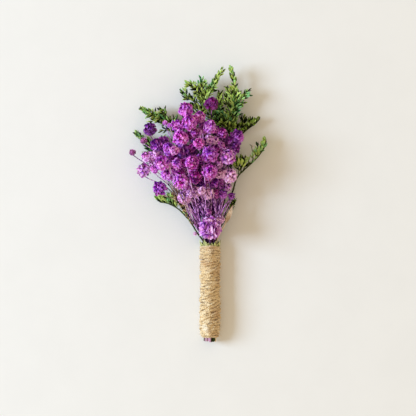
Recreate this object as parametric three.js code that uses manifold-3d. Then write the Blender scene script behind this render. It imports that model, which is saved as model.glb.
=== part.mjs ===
// A boutonniere of dried flowers, laid on its back. Sprays of dyed double baby's breath lie over
// sprigs of green sea lavender, and stem tape and wound jute twine bind their stems to a handle.
// Millimetres. +Y runs from the cut stems to the flowers and +Z up from the surface beneath.
// The origin is the small flat spot under the middle of the handle.
import * as THREE from "three";
import { mergeVertices } from "three/addons/utils/BufferGeometryUtils.js";
import Module from "manifold-3d";

const wasm = await Module();
wasm.setup();
const { Manifold } = wasm;

// Handle
const HANDLE_LENGTH = 46.8;
const TWINE_TURNS = 36;
const TWINE_CREST = 5.45;
const TWINE_GROOVE = 0.4;
const TWINE_SIDES = 10;
const TWINE_BORE = 4.35;
const TURN_SLANT = 0.035;
const WAIST_Y = 4;
const WAIST_SPAN = 10;
const SQUASH = 0.68;
const AXIS_HEIGHT = TWINE_CREST * Math.cos(Math.PI / TWINE_SIDES) - SQUASH;
const MOUTH = HANDLE_LENGTH / 2;
const STEM_END = -MOUTH - 2.4;

// Tape under the twine
const TAPE_OUTER = 3.95;
const TAPE_INNER = 3.45;
const TAPE_FOOT = -MOUTH + 5.5;
const TAPE_POINTS = 14;
const TAPE_RIM = MOUTH + 1.1;
const TAPE_POINT_HEIGHT = 1.7;
const CLEARANCE = 0.3;

// Stems lie in rows in the bundle, a pitch apart, and fan out above the mouth.
const STEM_PITCH = 1.08;
const ROW_PITCH = STEM_PITCH * Math.sin(Math.PI / 3);
const STEM_DIAMETER = 0.78;
const FAN_STEPS = 4;
const NODE_SPACING = 6;
const PEDICEL_DIAMETER = 0.62;
const FAN_START = MOUTH + 2.2;

// The tops of the flower heads lie on a dome, and the lower heads on a level under it.
const DOME = { x: -8, y: 66, spanX: 34, spanY: 44, rim: 7, rise: 16 };
const UNDER_LEVEL = 9;
const HEAD_FULLNESS = 1.16;
const HEAD_GAP = 0.35;
const SETTLE_ROUNDS = 60;
const CORE_SHARE = 0.62;
const SMALL_RADIUS = 3.3;
const BUD_RADIUS = 1.7;

// Bracts of the green sprigs
const BRACT_REACH = 2.7;
const BRACT_LEAN = THREE.MathUtils.degToRad(33);
const BRACT_STEP = 2.3;
const RACHIS_DIAMETER = 1;
const TWIG_DIAMETER = 0.9;

// Flower sprays: the stem's column and row in the bundle, where it forks, and its heads.
// A head is [x, y, radius, how far it is sunk below its level].
const SPRAYS = [
  {
    name: "spray_near_left",
    slot: [-1.5, 2],
    fork: [-12.4, 40.2, 11.8],
    heads: [
      [-25.4, 52.7, 3.6, 0],
      [-32.9, 61.5, 3.5, 0],
      [-21.2, 59.4, 3.5, 0],
      [-39.2, 70.6, 1.35, 0],
      [-7.6, 29.4, 1, 4.5],
    ],
  },
  {
    name: "spray_near_middle_left",
    slot: [-0.5, 2],
    fork: [-8, 39, 12],
    heads: [
      [-12.5, 48.6, 3.6, 0],
      [-14.1, 56.4, 4, 0],
      [-16.2, 64.8, 3.1, 0],
    ],
  },
  {
    name: "spray_near_middle_right",
    slot: [0.5, 2],
    fork: [-3, 39, 12],
    heads: [
      [-7.3, 50.7, 3.3, 0],
      [-1.1, 50.1, 3.1, 0],
      [-7.4, 58.4, 3.4, 0],
      [-9.4, 65.4, 3.6, 0],
      [-2.9, 55.8, 2.5, 4],
    ],
  },
  {
    name: "spray_near_right",
    slot: [1.5, 2],
    fork: [4, 39.5, 11.6],
    heads: [
      [2.1, 55.3, 2.8, 4],
      [-0.1, 61, 4.2, 0],
      [9.4, 58.9, 3.8, 0],
      [6.1, 49.1, 2.2, 3],
      [10.6, 48.5, 1.6, 5],
      [8.6, 53, 2.4, 4.5],
    ],
  },
  {
    name: "spray_far_left",
    slot: [-2, 1],
    fork: [-19, 61.5, 12.2],
    heads: [
      [-23.8, 65, 3.7, 0],
      [-26.3, 69.6, 3.1, 0],
      [-32, 67.8, 2.8, 0],
      [-33.5, 76.4, 1.4, 0],
      [-30.2, 81.9, 3.3, 0],
      [-29, 63.8, 2.6, 2.5],
    ],
  },
  {
    name: "spray_far_middle_left",
    slot: [-1, 1],
    fork: [-15.2, 61, 12.4],
    heads: [
      [-26.1, 73.9, 3.6, 0],
      [-20.7, 72.3, 3.3, 0],
      [-22.6, 85.3, 1, 0],
      [-20.2, 84, 0.95, 0],
      [-16.1, 83.7, 3.1, 0],
      [-19.4, 66, 2.8, 3],
    ],
  },
  {
    name: "spray_far_middle",
    slot: [0, 1],
    fork: [-9.4, 61, 12.6],
    heads: [
      [-13.5, 70.8, 4, 0],
      [-14.1, 77.2, 3.8, 0],
      [-10.4, 84.4, 4, 0],
      [-12.2, 91.4, 3.8, 0],
      [-12.4, 61.6, 2.7, 3.5],
      [-9, 70.2, 2.7, 5],
    ],
  },
  {
    name: "spray_far_middle_right",
    slot: [1, 1],
    fork: [-2.5, 61, 12.4],
    heads: [
      [-5.3, 74.6, 3.1, 0],
      [-7, 80, 3.2, 0],
      [-5.3, 87.7, 3.1, 0],
      [-0.6, 69.2, 4.3, 0],
      [-0.3, 76.8, 2.9, 0],
      [-0.1, 82.6, 3.6, 0],
      [0.9, 95, 3.4, 0],
      [-4.6, 62.8, 2.7, 6],
      [-3.2, 84.4, 2.6, 5],
    ],
  },
  {
    name: "spray_far_right",
    slot: [2, 1],
    fork: [6.6, 61.5, 12.2],
    heads: [
      [8.1, 68.3, 4.3, 0],
      [5.3, 74, 2.3, 0],
      [6.1, 80.1, 2.8, 0],
      [12.3, 72.8, 2.8, 0],
      [13.8, 77.4, 3.8, 0],
      [3.8, 65.4, 2.7, 3],
      [9.2, 74.4, 2.6, 5],
    ],
  },
  {
    name: "spray_under_left",
    slot: [-1.5, 0],
    fork: [-16, 56, 7.2],
    under: true,
    heads: [
      [-23.4, 58.4, 2.8, 0],
      [-20.5, 68, 3, 0],
      [-22.8, 76.4, 2.6, 0],
    ],
  },
  {
    name: "spray_under_middle",
    slot: [-0.5, 0],
    fork: [-7, 58, 7.4],
    under: true,
    heads: [
      [-11.8, 55.6, 2.8, 1.6],
      [-12, 67.5, 3.1, 0],
      [-6.5, 77.4, 3, 0],
      [-15, 80.6, 2.8, 0],
    ],
  },
  {
    name: "spray_under_right",
    slot: [0.5, 0],
    fork: [2, 58, 7.4],
    under: true,
    heads: [
      [1, 57, 2.9, 0],
      [-0.4, 68.5, 3, 0],
      [6.6, 78.6, 2.9, 0],
    ],
  },
];

// The large low bloom over the mouth of the handle, with its two side heads: [x, y, z, radius].
const BASE_BLOOM = {
  name: "base_bloom",
  slot: [0, 3],
  strapped: [0.2, 32.5, 15.4, 5.3],
  sideHeads: [
    [-0.7, 40.2, 13.4, 2],
    [4.8, 36.8, 13.2, 2.5],
  ],
};

// Green sprigs: the bundle slot, the rachis above the handle, how many of its points are bare,
// and twigs as [tip x, y, z, the number of the rachis point where it leaves].
// On a one-sided sprig every bract stands on the side that "towards" names.
const SPRIGS = [
  {
    name: "sprig_top_right",
    slot: [1, -1],
    path: [
      [3.2, 40, 3.4],
      [5, 60, 3.2],
      [6.6, 71, 3.6],
      [8.6, 79, 4.4],
      [11.4, 87.5, 5.6],
      [12.6, 96, 6.8],
      [12.6, 105, 7.8],
      [10.4, 114.2, 8.8],
    ],
    barePoints: 2,
    twigs: [
      [20.3, 102.3, 7.6, 4.3],
      [8.4, 104.4, 8.2, 4.8],
      [8, 101, 5.8, 3.5],
      [6, 93.5, 4.6, 2.6],
    ],
  },
  {
    name: "sprig_top_centre",
    slot: [0.5, -2],
    path: [
      [1.2, 40, 2.1],
      [2, 60, 1.9],
      [2.8, 76, 2.2],
      [3, 87, 3.4],
      [4.2, 95, 4.8],
      [5.2, 101.6, 5.6],
    ],
    barePoints: 2,
    twigs: [
      [-1, 95.5, 4.4, 2.5],
      [7, 90, 2.6, 2.2],
    ],
  },
  {
    name: "sprig_top_middle",
    slot: [0, -1],
    path: [
      [-1.2, 40, 3.6],
      [-3, 60, 3.4],
      [-4, 78, 3.8],
      [-4, 90, 5.4],
      [-2.6, 98, 7],
      [1, 104.6, 8],
      [6.8, 113.2, 9],
    ],
    barePoints: 2,
    twigs: [
      [-4.2, 109.4, 8.8, 3.2],
      [-12, 107.2, 8, 3.8],
      [-14.5, 102.3, 5.6, 2.9],
      [-13, 95.6, 4, 2.6],
    ],
  },
  {
    name: "sprig_upper_left",
    slot: [-1, -1],
    path: [
      [-4, 38, 3.4],
      [-11, 60, 2.9],
      [-14.6, 75, 3],
      [-18, 84, 3.8],
      [-24.4, 87.8, 4.6],
      [-30.2, 90.4, 5.4],
      [-35.7, 93.4, 6.2],
    ],
    barePoints: 2,
    twigs: [
      [-25.3, 93.6, 6.2, 3.4],
      [-31.8, 86, 4.6, 4],
      [-18.6, 91, 5.6, 2.8],
      [-26, 82.2, 3.2, 2.6],
      [-12, 90, 3.6, 2.3],
    ],
  },
  {
    name: "sprig_left",
    slot: [-2, -1],
    path: [
      [-7, 38, 3.2],
      [-17, 56, 2.3],
      [-24.6, 67, 1.6],
      [-31, 74.6, 2.2],
      [-38.4, 81.4, 3.6],
    ],
    barePoints: 2,
    twigs: [
      [-34.2, 70.6, 2.2, 2.2],
      [-24.3, 79.6, 2.4, 2.1],
    ],
  },
  {
    name: "sprig_right",
    slot: [2, -1],
    path: [
      [6, 40, 3],
      [9.6, 58, 2],
      [12.4, 70, 1.5],
      [14.4, 77.6, 2],
      [19.4, 82.8, 3.4],
      [25.7, 87.3, 4.8],
    ],
    barePoints: 2,
    towards: [-0.35, 1, 0.3],
    twigs: [
      [17.4, 89.6, 3.6, 3.1],
      [21.6, 88.4, 4.2, 3.9],
      [13, 86.4, 2.4, 2.5],
    ],
  },
  {
    name: "sprig_low_right",
    slot: [1.5, 0],
    path: [
      [4.6, 32, 4.9],
      [8, 41, 4.6],
      [11.2, 50, 4.4],
      [13.4, 57, 4.5],
      [18, 62.4, 5],
      [23.4, 67.6, 5.6],
      [27.3, 72.3, 6.2],
      [29.2, 78.5, 7],
    ],
    barePoints: 3,
    towards: [-0.35, 1, 0.25],
    twigs: [
      [27, 76.4, 7, 5.6],
      [24.3, 75.6, 6.8, 5.1],
      [21.2, 74.4, 6.6, 4.7],
      [19.8, 69, 6, 4.2],
      [16.3, 69, 5.6, 3.6],
    ],
  },
  {
    name: "sprig_low_left",
    slot: [-2.5, 0],
    path: [
      [-6.3, 29.6, 4.6],
      [-11, 36.6, 4.2],
      [-15.6, 41.7, 3.9],
      [-21.4, 44.7, 3.5],
      [-27.6, 45.8, 3.6],
    ],
    barePoints: 1,
    towards: [-0.25, 1, 0.2],
    twigs: [
      [-25.6, 49.8, 4, 3.1],
      [-21, 49.8, 4.2, 2.3],
      [-18.4, 49.6, 5.2, 0.8],
    ],
  },
  {
    name: "sprig_small_right",
    slot: [1.5, -2],
    path: [
      [5, 32, 2.3],
      [9, 39, 2.5],
      [10.9, 43, 2.7],
      [13.2, 47.8, 3.2],
    ],
    barePoints: 2,
    twigs: [],
  },
];

// A dry straw-coloured leaf at the right of the mouth.
const DRY_LEAF = {
  slot: [2.5, 0],
  stalk: [
    [5.8, 31, 6.2],
    [8.2, 35.4, 8.6],
  ],
  tip: [11.6, 44.4, 11],
  width: 2.6,
  thickness: 0.7,
};

const finish = {
  bloom: new THREE.MeshStandardMaterial({ color: 0x9a47b5, roughness: 0.85 }),
  leaf: new THREE.MeshStandardMaterial({ color: 0x5c7a33, roughness: 0.7 }),
  twine: new THREE.MeshStandardMaterial({ color: 0xc9a672, roughness: 0.9 }),
  tape: new THREE.MeshStandardMaterial({ color: 0xa9bd6a, roughness: 0.8 }),
  straw: new THREE.MeshStandardMaterial({ color: 0xdcb483, roughness: 0.8 }),
};

const point = ([x, y, z]) => new THREE.Vector3(x, y, z);

// A seeded run of numbers from 0 to 1, so that every build is the same.
function randomFrom(seed) {
  let state = seed;
  return () => {
    state = (state * 1664525 + 1013904223) % 4294967296;
    return state / 4294967296;
  };
}

function solidOf(geometry) {
  const bare = geometry.clone();
  bare.deleteAttribute("normal");
  bare.deleteAttribute("uv");
  const merged = mergeVertices(bare, 1e-4);
  return new Manifold(
    new wasm.Mesh({
      numProp: 3,
      vertProperties: merged.attributes.position.array,
      triVerts: new Uint32Array(merged.index.array),
    }),
  );
}

function meshOf(solid, name, material) {
  const { numProp, vertProperties, triVerts } = solid.getMesh();
  const geometry = new THREE.BufferGeometry();
  geometry.setAttribute("position", new THREE.BufferAttribute(vertProperties, numProp));
  geometry.setIndex(new THREE.BufferAttribute(triVerts, 1));
  geometry.computeVertexNormals();
  const mesh = new THREE.Mesh(geometry, material);
  mesh.name = name;
  return mesh;
}

// Everything below the surface is cut away, which leaves small flats where a piece rests on it.
function restOnSurface(solid) {
  const depth = 20;
  const below = new THREE.BoxGeometry(300, 300, depth).translate(0, 0, -depth / 2);
  return solid.subtract(solidOf(below));
}

// A curve with one long step for each of its first spans, and short even steps over the rest.
class SteppedCurve extends THREE.CatmullRomCurve3 {
  constructor(points, longSteps, shortSteps) {
    super(points, false, "centripetal");
    this.longSteps = longSteps;
    this.shortSteps = shortSteps;
    this.steps = longSteps + shortSteps;
  }

  getUtoTmapping(u) {
    const spans = this.points.length - 1;
    const step = u * this.steps;
    if (step < this.longSteps) return step / spans;
    const share = (step - this.longSteps) / this.shortSteps;
    return (this.longSteps + share * (spans - this.longSteps)) / spans;
  }
}

function tubeGeometry(curve, diameter, sides) {
  const corners = [];
  for (let i = 0; i < sides; i++) {
    const angle = (2 * Math.PI * (i + 0.5)) / sides;
    corners.push(new THREE.Vector2(Math.cos(angle), Math.sin(angle)).multiplyScalar(diameter / 2));
  }
  return new THREE.ExtrudeGeometry(new THREE.Shape(corners), {
    steps: curve.steps,
    extrudePath: curve,
    bevelEnabled: false,
  });
}

function tube(curve, diameter, sides) {
  return solidOf(tubeGeometry(curve, diameter, sides));
}

// The straight run of a stem through the handle, from its cut end to where the fan starts.
function bundled([column, row]) {
  const x = column * STEM_PITCH;
  const z = AXIS_HEIGHT + row * ROW_PITCH;
  return [
    [x, STEM_END, z],
    [x, MOUTH, z],
    [x, FAN_START, z],
  ];
}

// A double flower head: each face of its core is raised to a petal with a chisel edge.
function headGeometry(radius, core, random) {
  const corners = core.attributes.position;
  const places = [];
  const add = (...vertices) => vertices.forEach((v) => places.push(v.x, v.y, v.z));
  for (let i = 0; i < corners.count; i += 3) {
    const turn = Math.floor(random() * 3);
    const [a, b, c] = [0, 1, 2].map((k) =>
      new THREE.Vector3().fromBufferAttribute(corners, i + ((k + turn) % 3)),
    );
    const edgePoint = (share, reach) =>
      a.clone().multiplyScalar(share)
        .addScaledVector(b, (1 - share) / 2)
        .addScaledVector(c, (1 - share) / 2)
        .setLength(radius * reach);
    const p = edgePoint(0.66, 0.84 + 0.16 * random());
    const q = edgePoint(0.08, 0.84 + 0.16 * random());
    add(a, b, p, b, q, p, b, c, q, c, p, q, c, a, p);
  }
  return new THREE.BufferGeometry().setAttribute(
    "position",
    new THREE.Float32BufferAttribute(places, 3),
  );
}

// A head or, where it is small, a closed bud, at its place and turned at random.
function headSolid(head, detail, random) {
  const inner = head.radius * CORE_SHARE;
  const core =
    head.hidden || head.radius < SMALL_RADIUS
      ? new THREE.OctahedronGeometry(inner)
      : new THREE.IcosahedronGeometry(inner, detail);
  const shape =
    head.radius < BUD_RADIUS
      ? new THREE.DodecahedronGeometry(head.radius)
      : headGeometry(head.radius, core, random);
  shape.rotateX(2 * Math.PI * random()).rotateZ(2 * Math.PI * random());
  shape.translate(head.place.x, head.place.y, head.place.z);
  return solidOf(shape);
}

function domeLevel(x, y) {
  const fall = ((x - DOME.x) / DOME.spanX) ** 2 + ((y - DOME.y) / DOME.spanY) ** 2;
  return DOME.rim + DOME.rise * (1 - fall);
}

// Heads that lie too close are moved apart, more in height than across.
function settle(heads) {
  for (let round = 0; round < SETTLE_ROUNDS; round++) {
    heads.forEach((a, i) => {
      for (const b of heads.slice(i + 1)) {
        const apart = b.place.clone().sub(a.place);
        const short = a.radius + b.radius + HEAD_GAP - apart.length();
        if (short <= 0) continue;
        const push = apart.setLength(short / 2);
        push.set(push.x * 0.5, push.y * 0.5, push.z);
        if (!a.fixed) a.place.sub(push);
        if (!b.fixed) b.place.add(push);
      }
    });
  }
}

function placedHeads() {
  const heads = [];
  for (const spray of SPRAYS) {
    spray.placed = spray.heads.map(([x, y, size, sunk]) => {
      const level = spray.under ? UNDER_LEVEL : domeLevel(x, y);
      const place = new THREE.Vector3(x, y, level - sunk);
      return { place, radius: size * HEAD_FULLNESS, hidden: spray.under || sunk > 4 };
    });
    heads.push(...spray.placed);
  }
  BASE_BLOOM.placed = [BASE_BLOOM.strapped, ...BASE_BLOOM.sideHeads].map(([x, y, z, radius]) => ({
    place: new THREE.Vector3(x, y, z),
    radius,
    fixed: true,
  }));
  heads.push(...BASE_BLOOM.placed);
  settle(heads);
}

// A stem from its cut end through the handle and out to where it forks.
function stemCurve(slot, ...fan) {
  const points = [...bundled(slot).map(point), ...fan];
  return new SteppedCurve(points, 2, FAN_STEPS);
}

// Heads leave at the stem's tip, but a low head leaves at a step of the stem before it.
function stalkStart(stem, head) {
  const back = Math.round((stem.getPoint(1).y - head.place.y) / NODE_SPACING);
  const step = stem.steps - THREE.MathUtils.clamp(back, 0, 2);
  return stem.getUtoTmapping(step / stem.steps);
}

// The stalk of a head leaves along the stem and comes up under the head.
function stalk(stem, head) {
  const share = stalkStart(stem, head);
  const start = stem.getPoint(share);
  const reach = head.place.distanceTo(start);
  const drop = Math.min(0.3 * reach, 1.2 * head.radius);
  const under = head.place.clone().add(new THREE.Vector3(0, -0.6, -0.8).multiplyScalar(drop));
  const leave = start.clone().addScaledVector(stem.getTangent(share), 0.25 * reach);
  const curve = new SteppedCurve([start, leave.lerp(under, 0.4), under, head.place], 0, 3);
  return tube(curve, PEDICEL_DIAMETER, 3);
}

function spraySolid(spray, seed) {
  const random = randomFrom(seed);
  const stem = stemCurve(spray.slot, point(spray.fork));
  const pieces = [tube(stem, STEM_DIAMETER, 4)];
  for (const head of spray.placed) {
    pieces.push(stalk(stem, head));
    pieces.push(headSolid(head, 0, random));
  }
  return Manifold.union(pieces);
}

function baseBloomSolid(seed) {
  const random = randomFrom(seed);
  const [strapped, ...sideHeads] = BASE_BLOOM.placed;
  const end = strapped.place;
  const stem = stemCurve(BASE_BLOOM.slot, end.clone().add(new THREE.Vector3(0, -2, -2.4)));
  const pieces = [tube(stem, STEM_DIAMETER, 4), headSolid(strapped, 1, random)];
  for (const head of sideHeads) {
    const curve = new SteppedCurve([end, head.place], 0, 1);
    pieces.push(tube(curve, PEDICEL_DIAMETER, 3), headSolid(head, 0, random));
  }
  return Manifold.union(pieces);
}

// A leafy curve has a short step for each bract past its bare spans.
function leafyCurve(points, bareSpans) {
  const leafy = points.slice(bareSpans);
  const length = leafy.slice(1).reduce((sum, p, i) => sum + p.distanceTo(leafy[i]), 0);
  return new SteppedCurve(points, bareSpans, Math.max(2, Math.round(length / BRACT_STEP)));
}

// A green stem: the faces of a tube are raised to pointed bracts that lean forward, from where
// its bare part ends. The side faces all are, and every other one above and below.
function leafyStem(curve, diameter, towards, random) {
  const bare = tubeGeometry(curve, diameter, 4);
  const corners = bare.attributes.position;
  const corner = (i) => new THREE.Vector3().fromBufferAttribute(corners, i);
  const places = [];
  const add = (...vertices) => vertices.forEach((v) => places.push(v.x, v.y, v.z));
  const apex = (rim, along, lean) => {
    const centre = rim.reduce((sum, v) => sum.add(v), new THREE.Vector3()).divideScalar(rim.length);
    const outward = new THREE.Plane().setFromCoplanarPoints(...rim.slice(0, 3)).normal;
    const reach = BRACT_REACH * (0.8 + 0.4 * random());
    return centre.addScaledVector(along, reach * Math.cos(lean))
      .addScaledVector(outward, reach * Math.sin(lean));
  };
  const [lids, sides] = bare.groups;
  const end = curve.getPoint(1);
  for (let i = lids.start; i < lids.start + lids.count; i += 3) {
    const rim = [corner(i), corner(i + 1), corner(i + 2)];
    if (rim[0].distanceTo(end) > diameter) {
      add(...rim);
      continue;
    }
    const tip = apex(rim, curve.getTangent(1), Math.PI / 2);
    rim.forEach((v, k) => add(v, rim[(k + 1) % 3], tip));
  }
  for (let i = 0; i < sides.count; i += 6) {
    const [a, b, d, , c] = [0, 1, 2, 3, 4].map((k) => corner(sides.start + i + k));
    const step = (i / 6) % curve.steps;
    const along = c.clone().add(d).sub(a).sub(b).normalize();
    const outward = new THREE.Plane().setFromCoplanarPoints(a, b, d).normal;
    const lateral = Math.abs(outward.z) < 0.7;
    const wanted = towards ? outward.dot(towards) > 0.3 : lateral || (step + (outward.z > 0)) % 2;
    if (step < Math.max(curve.longSteps, 1) || !wanted) {
      add(a, b, d, b, c, d);
      continue;
    }
    const tip = apex([a, b, c, d], along, BRACT_LEAN);
    add(a, b, tip, b, c, tip, c, d, tip, d, a, tip);
  }
  const leafy = new THREE.BufferGeometry();
  leafy.setAttribute("position", new THREE.Float32BufferAttribute(places, 3));
  return solidOf(leafy);
}

// The tube ends a bract short of a sprig's tip, because its last bracts reach the tip.
function shortOfTip(tip, before) {
  const back = before.clone().sub(tip).setLength(0.8 * BRACT_REACH);
  return tip.clone().add(back);
}

// A twig leaves the rachis at a numbered point, or between two, and bends forward to its tip.
function twigCurve(rachis, firstPoint, [x, y, z, leaves]) {
  const share = (firstPoint + leaves) / (rachis.points.length - 1);
  const start = rachis.getPoint(share);
  const tip = shortOfTip(new THREE.Vector3(x, y, z), start);
  const lift = rachis.getTangent(share).setLength(0.14 * start.distanceTo(tip));
  const mid = start.clone().lerp(tip, 0.45).add(lift);
  return leafyCurve([start, mid, tip], 0);
}

function sprigSolid(sprig, seed) {
  const random = randomFrom(seed);
  const inHandle = bundled(sprig.slot);
  const towards = sprig.towards && point(sprig.towards).normalize();
  const points = [...inHandle, ...sprig.path].map(point);
  points.push(shortOfTip(points.pop(), points.at(-1)));
  const rachis = leafyCurve(points, inHandle.length + sprig.barePoints - 1);
  const pieces = [leafyStem(rachis, RACHIS_DIAMETER, towards, random)];
  for (const twig of sprig.twigs) {
    const curve = twigCurve(rachis, inHandle.length, twig);
    pieces.push(leafyStem(curve, TWIG_DIAMETER, null, random));
  }
  return restOnSurface(Manifold.union(pieces));
}

// The crest of a turn: the handle has a slight waist, and is drawn in over its last turns.
function crestRadius(y) {
  const drawnIn = 1.1 * Math.exp(-(y + MOUTH) / 1.3) + 0.3 * Math.exp(-(MOUTH - y) / 1.2);
  const waist = 0.28 * Math.exp(-(((y - WAIST_Y) / WAIST_SPAN) ** 2));
  const uneven = 0.06 * (1 + Math.cos(1.3 * y));
  return TWINE_CREST - waist - uneven - drawnIn;
}

// The wound twine as one ring: its outside is raised to a crest on every turn.
function twineSolid() {
  const profile = [
    new THREE.Vector2(TAPE_INNER, -MOUTH),
  ];
  const pitch = HANDLE_LENGTH / TWINE_TURNS;
  for (let k = 0; k <= 2 * TWINE_TURNS; k++) {
    const y = -MOUTH + (k * pitch) / 2;
    const groove = k % 2 ? 0 : TWINE_GROOVE;
    profile.push(new THREE.Vector2(crestRadius(y) - groove, y));
  }
  profile.push(
    new THREE.Vector2(TWINE_BORE, MOUTH),
    new THREE.Vector2(TWINE_BORE, TAPE_FOOT - CLEARANCE),
    new THREE.Vector2(TAPE_INNER, TAPE_FOOT - CLEARANCE - 0.8),
    new THREE.Vector2(TAPE_INNER, -MOUTH),
  );
  const ring = new THREE.LatheGeometry(profile, TWINE_SIDES, Math.PI / TWINE_SIDES);
  const places = ring.attributes.position;
  for (let i = 0; i < places.count; i++) {
    const [x, y] = [places.getX(i), places.getY(i)];
    const inside = 1 - (y / MOUTH) ** 6;
    places.setY(i, y + TURN_SLANT * x * Math.sin(0.6 * y + 0.8) * inside);
  }
  ring.translate(0, 0, AXIS_HEIGHT);
  return restOnSurface(solidOf(ring));
}

// Stem tape round the bundle: its torn top edge stands out of the twine in leaf-like points.
function tapeSolid() {
  const profile = [
    new THREE.Vector2(TAPE_INNER, TAPE_FOOT),
    new THREE.Vector2(TAPE_OUTER, TAPE_FOOT),
    new THREE.Vector2(TAPE_OUTER, MOUTH),
    new THREE.Vector2(TAPE_OUTER, TAPE_RIM),
    new THREE.Vector2(TAPE_INNER, TAPE_RIM),
    new THREE.Vector2(TAPE_INNER, MOUTH),
    new THREE.Vector2(TAPE_INNER, TAPE_FOOT),
  ];
  const sleeve = new THREE.LatheGeometry(profile, 2 * TAPE_POINTS);
  const places = sleeve.attributes.position;
  for (let i = 0; i < places.count; i++) {
    const [x, y, z] = [places.getX(i), places.getY(i), places.getZ(i)];
    if (y < TAPE_RIM - 1e-3) continue;
    const turn = Math.round((Math.atan2(x, z) / Math.PI) * TAPE_POINTS) + 2 * TAPE_POINTS;
    const tall = turn % 2 ? 1 : 0;
    const uneven = 0.7 + 0.3 * Math.cos(1.9 * (turn % (2 * TAPE_POINTS)));
    const flare = 1 + 0.09 * tall;
    places.setXYZ(i, x * flare, y + TAPE_POINT_HEIGHT * tall * uneven, z * flare);
  }
  sleeve.translate(0, 0, AXIS_HEIGHT);
  return solidOf(sleeve);
}

function dryLeafSolid() {
  const stem = stemCurve(DRY_LEAF.slot, ...DRY_LEAF.stalk.map(point));
  const root = point(DRY_LEAF.stalk.at(-1));
  const along = point(DRY_LEAF.tip).sub(root);
  const length = along.length();
  const half = DRY_LEAF.width / 2;
  const outline = new THREE.Shape();
  outline.moveTo(-1.2, 0);
  outline.quadraticCurveTo(0.35 * length, -1.7 * half, length, 0);
  outline.quadraticCurveTo(0.35 * length, 1.7 * half, -1.2, 0);
  const blade = new THREE.ExtrudeGeometry(outline, {
    depth: DRY_LEAF.thickness,
    bevelEnabled: false,
    curveSegments: 5,
  }).translate(0, 0, -DRY_LEAF.thickness / 2);
  const direction = along.normalize();
  const across = new THREE.Vector3().crossVectors(new THREE.Vector3(0, 0, 1), direction).normalize();
  const up = new THREE.Vector3().crossVectors(direction, across);
  blade.applyMatrix4(new THREE.Matrix4().makeBasis(direction, across, up));
  blade.translate(root.x, root.y, root.z);
  return Manifold.union([tube(stem, STEM_DIAMETER, 4), solidOf(blade)]);
}

const boutonniere = new THREE.Group();
boutonniere.add(
  meshOf(twineSolid(), "twine_wrap", finish.twine),
  meshOf(tapeSolid(), "stem_tape", finish.tape),
  meshOf(dryLeafSolid(), "dry_leaf", finish.straw),
);
placedHeads();
boutonniere.add(meshOf(baseBloomSolid(7), BASE_BLOOM.name, finish.bloom));
SPRAYS.forEach((spray, i) => {
  boutonniere.add(meshOf(spraySolid(spray, 100 + i), spray.name, finish.bloom));
});
SPRIGS.forEach((sprig, i) => {
  boutonniere.add(meshOf(sprigSolid(sprig, 200 + i), sprig.name, finish.leaf));
});

export default boutonniere;
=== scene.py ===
"""A boutonniere of dried flowers, dressed over its CAD frame.

Sprays of dyed double baby's breath lie over sprigs of green sea lavender, with a strap-petalled
bloom and a dry leaf low over the mouth of the handle. Stem tape and wound jute twine bind them.
The stems run along Y with the flowers at +Y, and Z is the height over the card.
Sizes are in millimetres, as in the CAD source. A finished piece and the stage are in metres.
"""

import math
import random
from dataclasses import dataclass

import bmesh
import bpy
from mathutils import Matrix, Vector


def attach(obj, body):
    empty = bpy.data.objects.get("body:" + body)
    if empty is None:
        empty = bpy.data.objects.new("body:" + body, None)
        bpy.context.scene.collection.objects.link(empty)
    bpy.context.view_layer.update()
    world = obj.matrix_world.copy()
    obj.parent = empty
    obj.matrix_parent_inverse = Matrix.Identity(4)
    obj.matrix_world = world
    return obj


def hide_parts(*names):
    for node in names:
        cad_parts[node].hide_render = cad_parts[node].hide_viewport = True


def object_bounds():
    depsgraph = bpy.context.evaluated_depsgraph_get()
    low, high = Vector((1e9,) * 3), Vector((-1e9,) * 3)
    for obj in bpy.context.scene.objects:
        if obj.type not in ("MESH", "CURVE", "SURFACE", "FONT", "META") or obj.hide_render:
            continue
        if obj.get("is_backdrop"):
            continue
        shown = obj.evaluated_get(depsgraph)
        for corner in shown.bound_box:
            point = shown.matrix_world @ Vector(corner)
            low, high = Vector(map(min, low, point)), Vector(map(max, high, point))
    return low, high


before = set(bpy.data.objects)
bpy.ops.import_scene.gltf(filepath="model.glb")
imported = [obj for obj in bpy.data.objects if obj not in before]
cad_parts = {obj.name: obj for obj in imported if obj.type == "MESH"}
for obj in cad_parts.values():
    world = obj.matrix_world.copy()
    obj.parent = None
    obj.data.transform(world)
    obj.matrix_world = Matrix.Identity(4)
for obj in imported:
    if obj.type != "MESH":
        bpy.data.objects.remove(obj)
cad_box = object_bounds()

MILLIMETRE = 0.001
UP, AHEAD = Vector((0, 0, 1)), Vector((0, 1, 0))
GOLDEN_ANGLE = math.pi * (3 - math.sqrt(5))
FULL_PHASE = 6.28
LEAST_HEIGHT = 0.02
BLADE_WELD, ROD_WELD = 1e-4, 1e-5
CREASE_ANGLE = 0.9

# Handle. The twine is pressed flat where it rests, which lowers the handle's axis.
HANDLE_LENGTH = 46.8
MOUTH = HANDLE_LENGTH / 2
STEM_END = -MOUTH - 2.4
TWINE_TURNS = 36
TURN_STEPS = 56
FIRST_ANGLE = 0.6
TWINE_CREST = 5.45
TWINE_RADIUS = 0.66
PRESSED = 0.68
PRESSED_UPPER = 0.62
RIDGE_HEIGHT, FLANK_DEPTH = 0.5, 0.45
WAIST_Y, WAIST_SPAN = 4, 10
AXIS_HEIGHT = TWINE_CREST * math.cos(math.pi / 10) - PRESSED
PLY_TWIST, PLY_OFFSET, PLY_RADIUS = 2.3, 0.34, 0.36
CORE_DEPTH, CORE_RADIUS = 0.28, 0.72
# A glint painted on the twine near the cut ends.
GLINT_SPOT = (-0.003, -0.0185, 0.0095)  # in metres
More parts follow.
